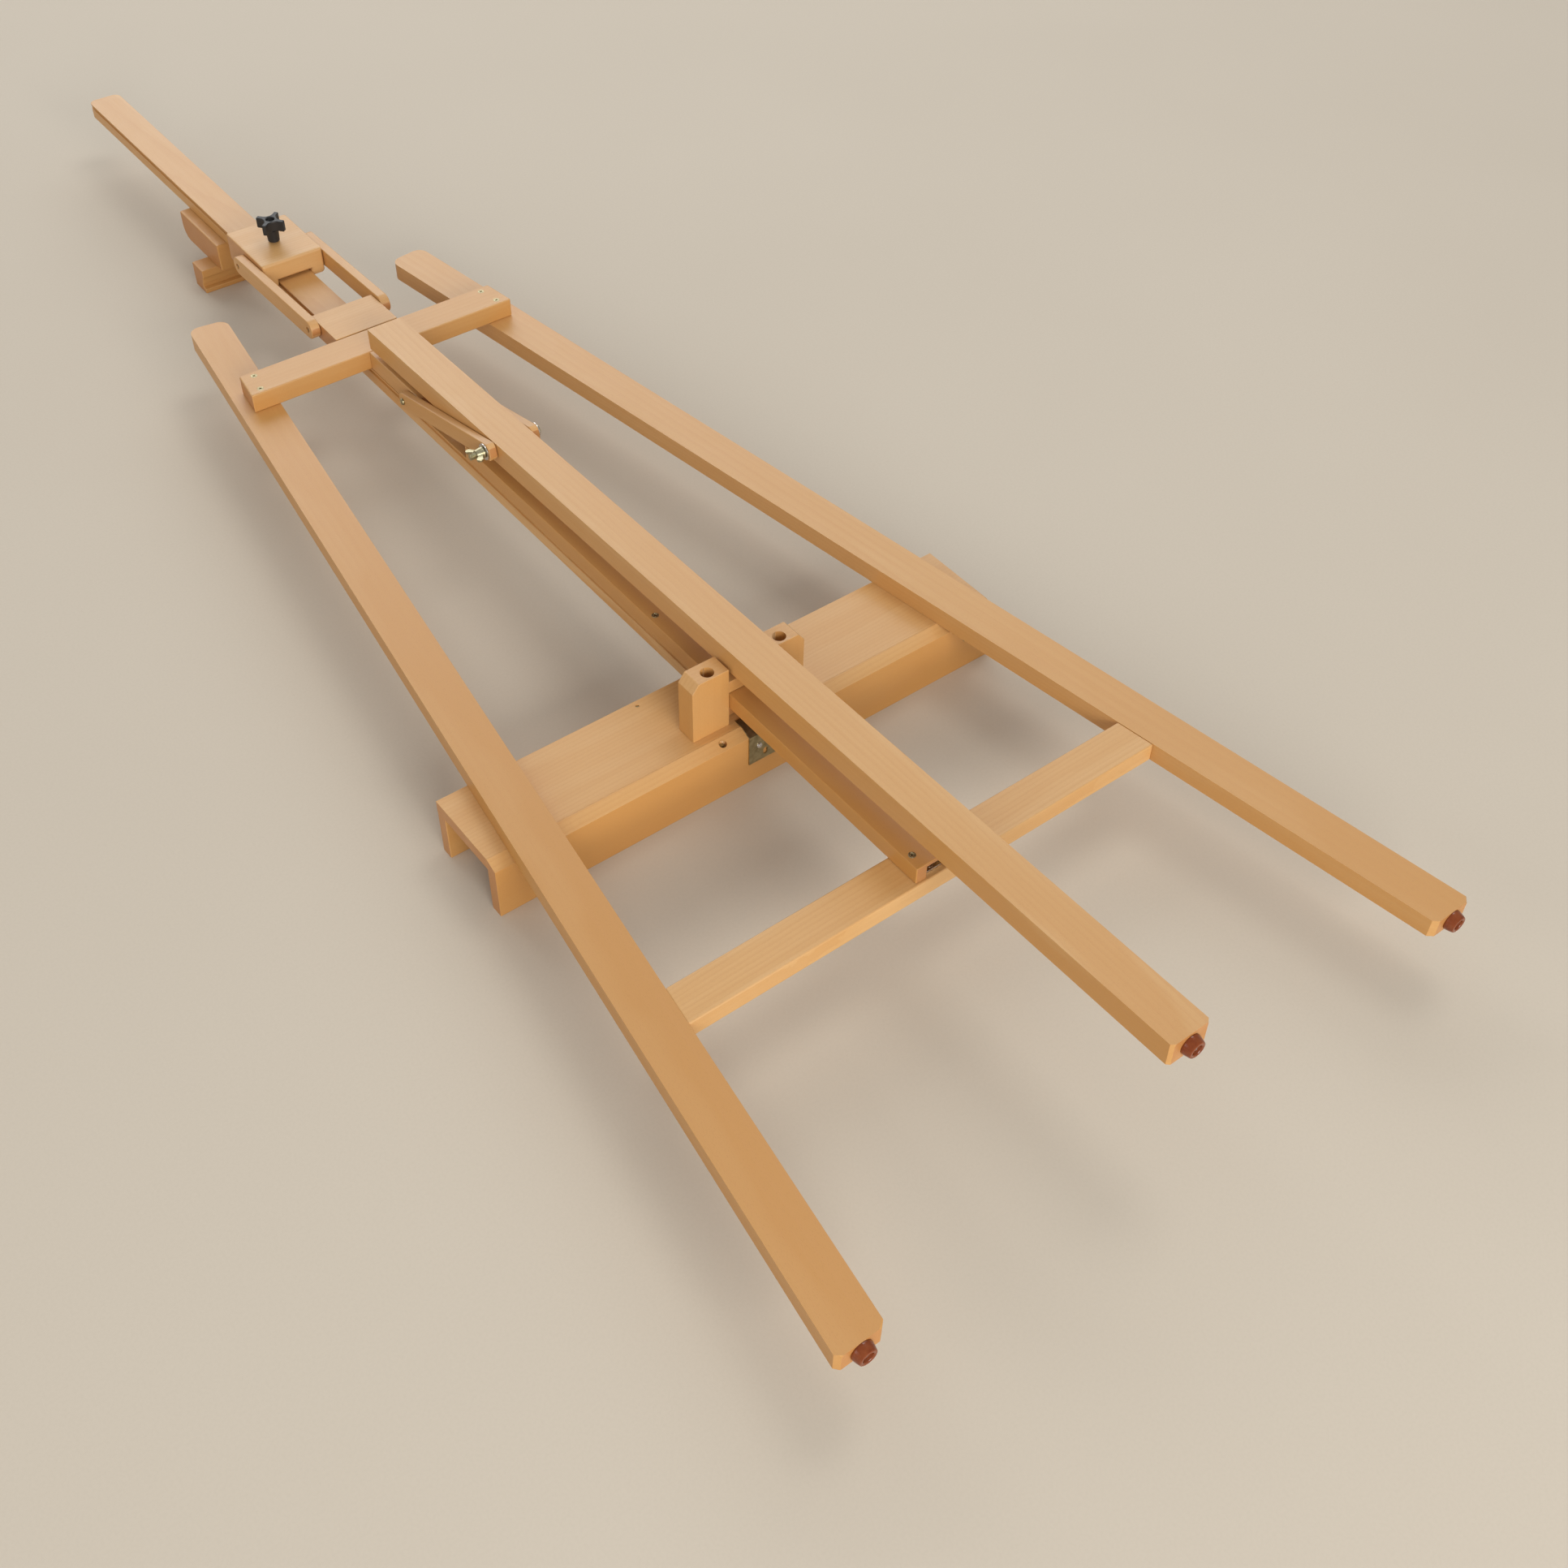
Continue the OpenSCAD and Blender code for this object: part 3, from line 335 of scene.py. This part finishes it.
def sharp_chains(bm):
    """Connected runs of sharp outward edges."""
    left = {
        e for e in bm.edges
        if len(e.link_faces) == 2 and e.is_convex and e.calc_face_angle(0) > SHARP
    }
    chains = []
    while left:
        chains.append(gather(left, lambda e: [o for v in e.verts for o in v.link_edges]))
    return chains


def box_of(points):
    """Lowest and highest corner of some points."""
    return Vector(map(min, zip(*points))), Vector(map(max, zip(*points)))


def reach(chain):
    low, high = box_of([v.co for e in chain for v in e.verts])
    return (high - low).length


def round_edges(bm, radius, segments, smallest):
    """Rounds the sharp outward edges, apart from runs that reach less than the smallest."""
    edges = [e for chain in sharp_chains(bm) if reach(chain) > smallest for e in chain]
    bmesh.ops.bevel(
        bm, geom=edges, offset=radius, segments=segments, profile=0.5, affect="EDGES",
        clamp_overlap=True, loop_slide=True,
    )


def nip_corners(bm, along, size):
    """Cuts the upright corners at the foot end of a leg."""
    upright, longest_skipped, end_zone = 0.95, 10 * MM, 6 * MM
    low = min(v.co.dot(along) for v in bm.verts)
    edges = [
        e for e in bm.edges
        if abs((e.verts[0].co - e.verts[1].co).normalized().z) > upright
        and e.calc_length() > longest_skipped
        and max(v.co.dot(along) for v in e.verts) < low + end_zone
    ]
    bmesh.ops.bevel(
        bm, geom=edges, offset=size, segments=1, affect="EDGES", clamp_overlap=True
    )


def store(mesh, name, domain, values):
    attribute = mesh.attributes.new(name, "FLOAT", domain)
    attribute.data.foreach_set("value", values)


def write_grain(mesh, along, tone, look, seed):
    """Stores each point's place in its board, its tone with painted shade on upright faces and
    towards the ends, its figure and wear, and what is end grain.
    """
    rng = random.Random(seed)
    along = along.normalized()
    turn = along.rotation_difference(Z_AXIS)
    tilt = Quaternion(X_AXIS, math.radians(rng.uniform(-1.3, 1.3)))
    spin = Quaternion(Z_AXIS, rng.uniform(0, 2 * math.pi))
    heart = Vector((rng.uniform(0.045, 0.11), 0, rng.uniform(0, 9)))
    grain = mesh.attributes.new("grain", "FLOAT_VECTOR", "POINT")
    values = [tuple(spin @ (tilt @ (turn @ v.co)) + heart) for v in mesh.vertices]
    grain.data.foreach_set("vector", [c for value in values for c in value])
    # painted shade: upright faces are made deeper by the look's side share, and lighter where that
    # share is below 0
    upright = [min(1, max(0, 1.25 - 1.5 * abs(p.normal.z))) for p in mesh.polygons]
    facing = [abs(p.normal.dot(along)) for p in mesh.polygons]
    worn = [WORN if SLANTED < f < END_GRAIN else 0 for f in facing]
    tones = [tone + look["side"] * u - w for u, w in zip(upright, worn)]
    store(mesh, "tone", "FACE", tones)
    store(mesh, "figure", "POINT", [look["figure"]] * len(mesh.vertices))
    # painted shade along the board: deeper towards the ends, standing in for sheen that does not
    # reach them
    head, foot = look["shade_ramp"]
    places = [v.co.dot(along) for v in mesh.vertices]
    low, high = min(places), max(places)
    shade_ramp = [foot + (head - foot) * (p - low) / (high - low) for p in places]
    store(mesh, "shade_ramp", "POINT", shade_ramp)
    store(mesh, "end", "FACE", [look["end"] if f >= END_GRAIN else 0 for f in facing])


def main_axis(points, start, steps, flat=False):
    """Direction of the widest spread of some points, or of the narrowest for a flat solid."""
    middle = sum(points, Vector()) / len(points)
    arms = [p - middle for p in points]
    spread = sum(a.dot(a) for a in arms)
    axis = start
    for _ in range(steps):
        stretched = sum((a * a.dot(axis) for a in arms), Vector())
        axis = (axis * spread - stretched if flat else stretched).normalized()
    return axis


def long_axis(node):
    points = [v.co for v in frame["nodes"][node].data.vertices]
    return main_axis(points, Vector((0.31, 0.87, 0.17)), 40)


def board(node, radius, tone, along, material):
    """A wooden node with its long edges rounded."""
    bm = solid_of(node)
    along = along or long_axis(node)
    along = along if along.y >= 0 else -along
    look = USUAL_LOOK | LOOKS.get(node, {})
    if look["nip"]:
        nip_corners(bm, along, look["nip"] * MM)
    if radius:
        round_edges(bm, radius * MM, ROUND_SEGMENTS, SHORTEST_ROUNDED)
    mesh = bpy.data.meshes.new(node + "_wood")
    bm.to_mesh(mesh)
    bm.free()
    write_grain(mesh, along, tone, look, node + "0")
    put(mesh, node + "_wood", node, material, WOOD_CREASE)


# side: how much deeper the upright faces are, as painted shade; figure: strength of the pale
# bands;
# end: how dark the end grain is; nip: size in mm of the cuts at the corners of the foot end; the
# last pair: painted shade deepening at the head end and at the foot end, for sheen that falls off
# there, from 0 for none to 1 for full, where a head end below 0 keeps it nearer the foot
USUAL_LOOK = {"side": 0.15, "figure": 0.12, "end": 1.0, "nip": 0, "shade_ramp": (0, 0)}
LOOKS = {
    "leg_left": {"end": 0.7, "nip": 4.0, "shade_ramp": (0.0, 1.35)},
    "leg_right": {"side": 0.0, "end": 0.7, "nip": 4.0, "shade_ramp": (-2.2, 1.3)},
    "rear_leg": {"side": 0.30, "figure": 0.30, "end": 0.8, "nip": 2.4, "shade_ramp": (-2.2, 1.0)},
    "guide_channel": {"side": 0.3, "shade_ramp": (0.0, 1.3)},
    "mast_plank": {"side": 0.35, "figure": 0.62},
    "tray_lower_board": {"side": 0.85, "figure": 0.1},
    "tray_upper_board": {"side": 0.60, "figure": 0.1},
    "tray_rear_board": {"side": 0.60, "figure": 0.25},
    "tray_ear_left": {"side": 0.50, "end": 0.2},
    "tray_ear_right": {"side": 0.50, "end": 0.2},
    "upper_crossbar": {"side": 0.35, "figure": 0.2},
    "lower_rung": {"side": 0.0, "figure": 0.35},
    "clamp_block": {"side": -0.1, "figure": 0.5},
}

# node: radius of its edges in mm, tone from light to deep, grain direction (None for the longest
# stretch), material
BOARDS = {
    "leg_left": (2.2, 0.55, None, BEECH),
    "leg_right": (2.2, 0.25, None, BEECH),
    "lower_rung": (1.6, 0.0, X_AXIS, BEECH),
    "rung_dowels": (0, 0.5, X_AXIS, BEECH_DARK),
    "upper_crossbar": (1.3, 0.35, X_AXIS, BEECH),
    "spine_dowels": (0, 0.5, Y_AXIS, BEECH_DARK),
    "tongue_block": (1.3, 0.30, Y_AXIS, BEECH),
    "hinge_plate": (1.2, 0.10, X_AXIS, BEECH),
    "link_left": (1.2, 0.40, None, BEECH),
    "link_right": (1.2, 0.30, None, BEECH),
    "rear_leg": (1.7, 0.12, None, BEECH),
    "guide_channel": (1.3, 0.50, Y_AXIS, BEECH),
    "mast_plank": (1.0, 0.15, Y_AXIS, BEECH),
    "mast_runner": (1.0, 0.4, Y_AXIS, BEECH_DARK),
    "arm_left": (1.1, 0.35, Y_AXIS, BEECH),
    "arm_right": (1.1, 0.25, Y_AXIS, BEECH),
    "clamp_block": (3.2, 0.0, X_AXIS, BEECH),
    "holder_carriage": (1.8, 0.75, X_AXIS, BEECH),
    "holder_key": (0.4, 0.4, Y_AXIS, BEECH),
    "holder_lip_bar": (1.2, 0.85, X_AXIS, BEECH),
    "tray_rear_board": (1.6, 0.0, X_AXIS, BEECH),
    "tray_lower_board": (0.9, 0.0, X_AXIS, BEECH),
    "tray_upper_board": (0.9, 0.0, X_AXIS, BEECH),
    "tray_spacers": (1.0, 0.2, Y_AXIS, BEECH),
    "tray_ear_left": (0.6, 0.10, Z_AXIS, BEECH),
    "tray_ear_right": (0.6, 0.05, Z_AXIS, BEECH),
    "tray_bridge": (1.0, 0.35, X_AXIS, BEECH),
}
for node_name, (edge_r, wood_tone, grain_axis, stuff) in BOARDS.items():
    board(node_name, edge_r, wood_tone, grain_axis, stuff)


# ---------------------------------------------------------------- turned and driven parts


def circle(r, steps):
    angles = [2 * math.pi * i / steps for i in range(steps)]
    return [(r * math.cos(a), r * math.sin(a)) for a in angles]


def lathe(bm, profile, place, steps):
    """Turns (radius, height) points about z. Closes each end that stands on the axis."""
    rings = []
    for r, z in profile:
        points = circle(r, steps) if r else [(0, 0)]
        rings.append([bm.verts.new(place @ Vector((x, y, z))) for x, y in points])
    for low, high in zip(rings, rings[1:]):
        for i in range(steps):
            j = (i + 1) % steps
            pairs = ((low, i), (low, j), (high, j), (high, i))
            corners = [ring[k % len(ring)] for ring, k in pairs]
            bm.faces.new(list(dict.fromkeys(corners)))


def islands(node):
    """The corners of each separate solid of a node."""
    bm = welded(node)
    left = set(bm.verts)
    found = []
    while left:
        group = gather(left, lambda v: [e.other_vert(v) for e in v.link_edges])
        found.append([v.co.copy() for v in group])
    bm.free()
    return sorted(found, key=lambda g: tuple(round(c, 4) for c in sum(g, Vector()) / len(g)))


def measure(points, flat=False):
    """Place, length and end radii of a turned solid.

    The place is a matrix with z along the solid's axis and its wider end, the head, at z = 0. The
    axis is the direction of the widest spread, or of the narrowest for a flat solid.
    """
    nearly, end_zone, noticeable = 0.995, 1.3 * MM, 0.05 * MM
    axis = main_axis(points, Vector((0.31, 0.57, 0.77)), 60, flat)
    for exact in (X_AXIS, Y_AXIS, Z_AXIS):
        if abs(axis.dot(exact)) > nearly:
            axis = exact
    heights = [p.dot(axis) for p in points]
    low, high = min(heights), max(heights)
    low_corner, high_corner = box_of(points)
    centre = (low_corner + high_corner) / 2

    def radius(height):
        near = [p for p in points if abs(p.dot(axis) - height) < end_zone]
        return max(((p - centre) - axis * (p - centre).dot(axis)).length for p in near)

    if radius(low) > radius(high) + noticeable:
        axis, low, high = -axis, -high, -low
    top = centre + axis * (high - centre.dot(axis))
    place = Matrix.Translation(top) @ axis.to_track_quat("Z", "Y").to_matrix().to_4x4()
    return place, high - low, radius(high), radius(low)


def skin(bm, loops, place):
    """Joins closed loops of equal length with faces."""
    rows = [[bm.verts.new(place @ Vector(p)) for p in loop] for loop in loops]
    for low, high in zip(rows, rows[1:]):
        for i in range(len(low)):
            j = (i + 1) % len(low)
            bm.faces.new([low[i], low[j], high[j], high[i]])
    return rows


def skin_solid(bm, loops, place):
    """Joins loops with faces and closes both ends."""
    rows = skin(bm, loops, place)
    bm.faces.new(rows[0][::-1])
    bm.faces.new(rows[-1])


def cross_cutter(bm, size, place):
    """Tapered cross for a driver, as one closed solid about z = 0."""
    arm, half, depth, proud, taper = size * 0.52, size * 0.13, size * 0.5, size * 0.3, 0.45
    outline = [(arm, -half), (arm, half), (half, half)]
    for _ in range(3):
        outline += [(-y, x) for x, y in outline[-3:]]
    levels = [(1.0, proud), (1.0, 0.0), (taper, -depth)]
    skin_solid(bm, [[(x * s, y * s, z) for x, y in outline] for s, z in levels], place)


def combine(mesh, other, operation):
    """The union of two closed meshes, or the first without the second."""
    whole = bpy.data.objects.new("whole", mesh)
    tool = bpy.data.objects.new("tool", other)
    for thing in (whole, tool):
        thing.scale = (1000, 1000, 1000)
        bpy.context.scene.collection.objects.link(thing)
    bpy.context.view_layer.update()
    step = whole.modifiers.new("step", "BOOLEAN")
    step.object = tool
    step.operation = operation
    step.solver = "EXACT"
    graph = bpy.context.evaluated_depsgraph_get()
    result = bpy.data.meshes.new_from_object(whole.evaluated_get(graph))
    for thing in (whole, tool):
        bpy.data.objects.remove(thing)
    return result


def mesh_from(bm, name):
    bmesh.ops.recalc_face_normals(bm, faces=bm.faces)
    mesh = bpy.data.meshes.new(name)
    bm.to_mesh(mesh)
    bm.free()
    return mesh


PITCH = 0.9
THREAD_ROOT = 0.86  # share of the shank's radius
PLAIN_NECK = 0.4  # mm without thread under the head of a long screw
LONG_SCREW = 8
DEEPEST_SINK = 1.6
SAME_RADIUS = 0.2  # a solid whose ends differ less than this has no head


def threads(r, top, bottom):
    """Profile points of a cut thread between two heights, from the bottom up."""
    points = []
    for i in range(max(1, int((top - bottom) / PITCH))):
        z = bottom + i * PITCH
        points += [(r * THREAD_ROOT, z), (r, z + PITCH * 0.45), (r, z + PITCH * 0.6)]
    return points


# Outline of each screw's head, from its underside in to the middle of its top at z = 0: height of
# the underside in mm (None for a sunk head), then shares of the head's radius with heights in mm
HEADS = {
    "flat": (None, [(0.985, -0.22), (1, -0.12), (0.97, -0.02), (0.6, 0)]),
    "nail": (-1.2, [(0.96, -1.2), (1, -0.9), (0.86, -0.35), (0.5, -0.06)]),
    "pan": (-2.3, [(0.97, -2.3), (1, -2.0), (0.97, -1.2), (0.80, -0.42), (0.55, -0.12),
                   (0.25, -0.02)]),
    "cup": (-1.9, [(0.97, -0.35), (1, -0.15), (0.95, 0), (0.84, -0.04), (0.78, -0.45),
                   (0.70, -0.5), (0.64, -0.14), (0.4, -0.02)]),
    "bolt": (-3.0, [(0.98, -3.0), (1, -2.6), (0.95, -1.8), (0.80, -0.8), (0.55, -0.25),
                    (0.28, -0.04)]),
}


def screw_profile(style, length, head, shank):
    """Outline of a screw in mm, from its tip up to the middle of its head at z = 0."""
    blunt = [(0, -length), (shank * 0.8, -length)]
    if style == "pin":
        thread = threads(shank, -0.8, -length + 0.8)
        return blunt + [(shank, -length + 0.6)] + thread + [(shank * 0.8, 0), (0, 0)]
    under, outline = HEADS[style]
    if under is None:
        under = -min(head - shank, DEEPEST_SINK) - 0.2
    cap = [(shank, under)] + [(head * share, z) for share, z in outline] + [(0, 0)]
    if style == "nail":
        return [(0, -length), (shank, -length + 3)] + cap
    tip = [(0, -length), (shank * 0.35, -length + 1.0)]
    if style == "bolt":
        tip = blunt + [(shank, -length + 0.5)]
    neck = under - (PLAIN_NECK if length > LONG_SCREW else 0)
    return tip + threads(shank, neck, -length + 1.4) + [(shank, neck)] + cap


def screws(node, style, material):
    """One piece with every screw of a node, with a driver's cross in each head that has one."""
    bodies, crosses = bmesh.new(), bmesh.new()
    scale = Matrix.Scale(MM, 4)
    cross_turn, cross_share = Matrix.Rotation(0.5, 4, "Z"), 0.62 * 1.6
    for points in islands(node):
        place, length, head, shank = measure(points)
        length, head, shank = length / MM, head / MM, shank / MM
        kind = "pin" if head - shank < SAME_RADIUS else style
        lathe(bodies, screw_profile(kind, length, head, shank), place @ scale, 32)
        if kind in ("flat", "pan", "cup"):
            cross_cutter(crosses, head * cross_share, place @ cross_turn @ scale)
    mesh = mesh_from(bodies, node + "_metal")
    if crosses.verts:
        mesh = combine(mesh, mesh_from(crosses, "crosses"), "DIFFERENCE")
    else:
        crosses.free()
    put(mesh, node + "_metal", node, material, SCREW_CREASE)


for node_name, screw_style, stuff in (
    ("crossbar_screws", "flat", DULL),
    ("link_screws", "pan", DULL),
    ("arm_screws", "pan", OXIDE),
    ("block_screws", "pan", OXIDE),
    ("runner_screws", "flat", STEEL),
    ("holder_screws", "flat", STEEL),
    ("ear_screws", "flat", DULL),
    ("tray_screws", "flat", DULL),
    ("bracket_screws", "pan", STEEL),
    ("foot_nails", "nail", STEEL),
    ("rear_foot_nail", "nail", STEEL),
    ("hinge_screws", "flat", STEEL),
    ("pivot_bolt", "bolt", ZINC),
    ("clamp_bolt", "pin", STEEL),
    ("guide_screws", "cup", DULL),
):
    screws(node_name, screw_style, stuff)


def put_part(bm, node, material, crease):
    put(mesh_from(bm, node + "_part"), node + "_part", node, material, crease)


# Metal nodes whose outer edges are eased: radius in mm, material
EASED = {
    "pressure_pad": (0.3, STEEL),
    "rung_hinge": (0.4, STEEL),
    "hinge_pin": (0.3, STEEL),
    "guide_bracket": (0.25, DULL),
}
for node_name, (edge_r, stuff) in EASED.items():
    eased = solid_of(node_name)
    round_edges(eased, edge_r * MM, 2, 4 * MM)
    put_part(eased, node_name, stuff, SCREW_CREASE)


def tube(bm, outline, place, steps=48):
    """Turns a closed outline of (radius, height) about z, for a part with a bore."""
    lathe(bm, outline + outline[:1], place, steps)
    bmesh.ops.remove_doubles(bm, verts=bm.verts, dist=1e-6)


def turned(node, outline, material):
    """A ring-shaped part: a closed outline in mm turned about each of a node's axes."""
    bm = bmesh.new()
    for points in islands(node):
        tube(bm, outline, measure(points, flat=True)[0] @ Matrix.Scale(MM, 4))
    put_part(bm, node, material, TURNED_CREASE)


FOOT = [
    (2.05, 0), (8.3, 0), (8.75, -0.15), (8.9, -0.5), (8.85, -1.6), (8.2, -4.6), (7.55, -7.0),
    (7.25, -7.65), (6.7, -7.95), (6.1, -8.0), (5.3, -7.9), (4.75, -7.6), (4.4, -7.0), (4.1, -5.4),
    (3.7, -4.9), (2.05, -4.8),
]
WASHER = [
    (3.1, -0.1), (3.3, 0), (7.6, 0), (8, -0.25), (8, -0.95), (7.6, -1.2), (3.3, -1.2), (3.1, -1.1),
]
for node_name in ("foot_left", "foot_right", "rear_foot"):
    turned(node_name, FOOT, BROWN)
turned("bolt_washers", WASHER, STEEL)


def star_knob():
    """Four blunt lobes with scooped sides, a dished cap and a tapered neck, over a real bore."""
    low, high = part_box("star_knob")
    centre = Vector(((low.x + high.x) / 2, (low.y + high.y) / 2, high.z))
    tall = (high.z - low.z) / MM
    lobes, first_lobe = 4, math.radians(37.0)
    tip_r, scoop_r, scoop_at = 15.5, 9.8, 16.8
    head = 11.5
    steps = 144

    def star(inset, z):
        points = []
        for i in range(steps):
            a = 2 * math.pi * i / steps
            off = (a - first_lobe) % (2 * math.pi / lobes) - math.pi / lobes
            under = scoop_r**2 - (scoop_at * math.sin(off)) ** 2
            r = scoop_at * math.cos(off) - math.sqrt(under) if under > 0 else tip_r
            r = min(r, tip_r) - inset
            points.append((r * math.cos(a), r * math.sin(a), z))
        return points

    def ring(r, z):
        return [(x, y, z) for x, y in circle(r, steps)]

    # From the neck's mouth out and up to the cap, then down the bore; heights are under the cap
    loops = [ring(4.06, -tall), ring(5.7, -tall), ring(6.05, -tall + 0.25), ring(6.2, -tall + 0.9)]
    loops += [ring(6.75, -head - 1.2), ring(7.0, -head - 0.35), star(0.9, -head)]
    loops += [star(0.45, -head + 0.15), star(0.12, -head + 0.5), star(0, -head + 1.1)]
    loops += [star(0, -1.5), star(0.12, -0.7), star(0.4, -0.25), star(0.9, -0.04), star(1.5, 0)]
    loops += [ring(5.5, -0.15), ring(4.9, -0.3), ring(4.55, -0.7), ring(4.4, -2.8)]
    loops += [ring(4.06, -3.0), ring(2.0, -3.05), ring(1.9, -5.5), ring(4.06, -6.0)]
    bm = bmesh.new()
    rows = skin(bm, loops, Matrix.Translation(centre) @ Matrix.Scale(MM, 4))
    for i in range(steps):
        j = (i + 1) % steps
        bm.faces.new([rows[-1][i], rows[-1][j], rows[0][j], rows[0][i]])
    put_part(bm, "star_knob", BLACK, TURNED_CREASE)


star_knob()


def wing_nut():
    """Pressed wings with rounded tips on a tapered, bored hub."""
    hub_outline = [
        (3.08, 0.4), (3.4, 0), (5.25, 0), (5.6, 0.4), (5.3, 3.2), (4.7, 7.2), (4.3, 7.85),
        (3.9, 8.0), (3.4, 8.0), (3.08, 7.6),
    ]
    wing_turns = (-80.0, 100.0)
    tip_x, tip_z, tip_r = 10.7, 9.0, 3.3
    tip_arc = [math.radians(d) for d in range(-25, 131, 15)]
    rim = [(3.7, 1.7), (7.0, 3.6), (10.4, 5.6), (12.6, 6.5)]
    rim += [(tip_x + tip_r * math.cos(a), tip_z + tip_r * math.sin(a)) for a in tip_arc]
    rim += [(6.2, 9.2), (3.7, 7.4)]
    middle = Vector((8.6, 7.4))
    layers = ((-1.15, 0.5), (-0.95, 0.12), (-0.6, 0), (0.6, 0), (0.95, 0.12), (1.15, 0.5))

    low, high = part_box("wing_nut")
    base = Vector((high.x, (low.y + high.y) / 2, (low.z + high.z) / 2))
    outward = Matrix(((0, 0, -1), (0, -1, 0), (-1, 0, 0))).to_4x4()
    place = Matrix.Translation(base) @ outward @ Matrix.Scale(MM, 4)
    hub = bmesh.new()
    tube(hub, hub_outline, place)
    solid = mesh_from(hub, "hub")
    for turn in wing_turns:
        loops = []
        for side, inset in layers:
            loop = []
            for x, z in rim:
                inward = (middle - Vector((x, z))).normalized() * inset
                thick = side * (1.0 + 0.12 * (14 - x) / 10)
                loop.append((x + inward.x, thick, z + inward.y))
            loops.append(loop)
        wing = bmesh.new()
        skin_solid(wing, loops, place @ Matrix.Rotation(math.radians(turn), 4, "Z"))
        solid = combine(solid, mesh_from(wing, "wing"), "UNION")
    put(solid, "wing_nut_part", "wing_nut", ZINC, TURNED_CREASE)


wing_nut()


# ---------------------------------------------------------------- stage, light and camera


def aim(thing, place, target, roll=0.0):
    """Puts a light or the camera at a place, looking at the target."""
    turn = (Vector(target) - Vector(place)).to_track_quat("-Z", "Y")
    thing.location = place
    thing.rotation_euler = (turn @ Quaternion(Z_AXIS, math.radians(roll))).to_euler()
    scene.collection.objects.link(thing)


scene = bpy.context.scene
scene.view_settings.view_transform = "Standard"

floor_grid = bmesh.new()
bmesh.ops.create_grid(
    floor_grid, x_segments=FLOOR_CELLS, y_segments=FLOOR_CELLS, size=FLOOR_HALF
)
floor = bpy.data.objects.new("floor", mesh_from(floor_grid, "floor"))
floor.data.materials.append(floor_cover("pale_floor"))
scene.collection.objects.link(floor)

world = bpy.data.worlds.new("soft_room")
world.use_nodes = True
background = world.node_tree.nodes["Background"]
background.inputs["Color"].default_value = colour(*WORLD_COLOUR)
background.inputs["Strength"].default_value = WORLD_STRENGTH
scene.world = world

for light_name, (centre, aimed_at, wide, tall, power, tint) in LIGHTS.items():
    lamp = bpy.data.lights.new(light_name, "AREA")
    lamp.shape = "RECTANGLE"
    lamp.size, lamp.size_y = wide, tall
    lamp.energy = power
    lamp.color = tint
    aim(bpy.data.objects.new(light_name, lamp), centre, aimed_at)

camera = bpy.data.cameras.new("camera")
camera.lens = LENS
camera.sensor_width = SENSOR
camera.clip_end = FARTHEST
scene.camera = bpy.data.objects.new("camera", camera)
aim(scene.camera, EYE, TARGET, ROLL)
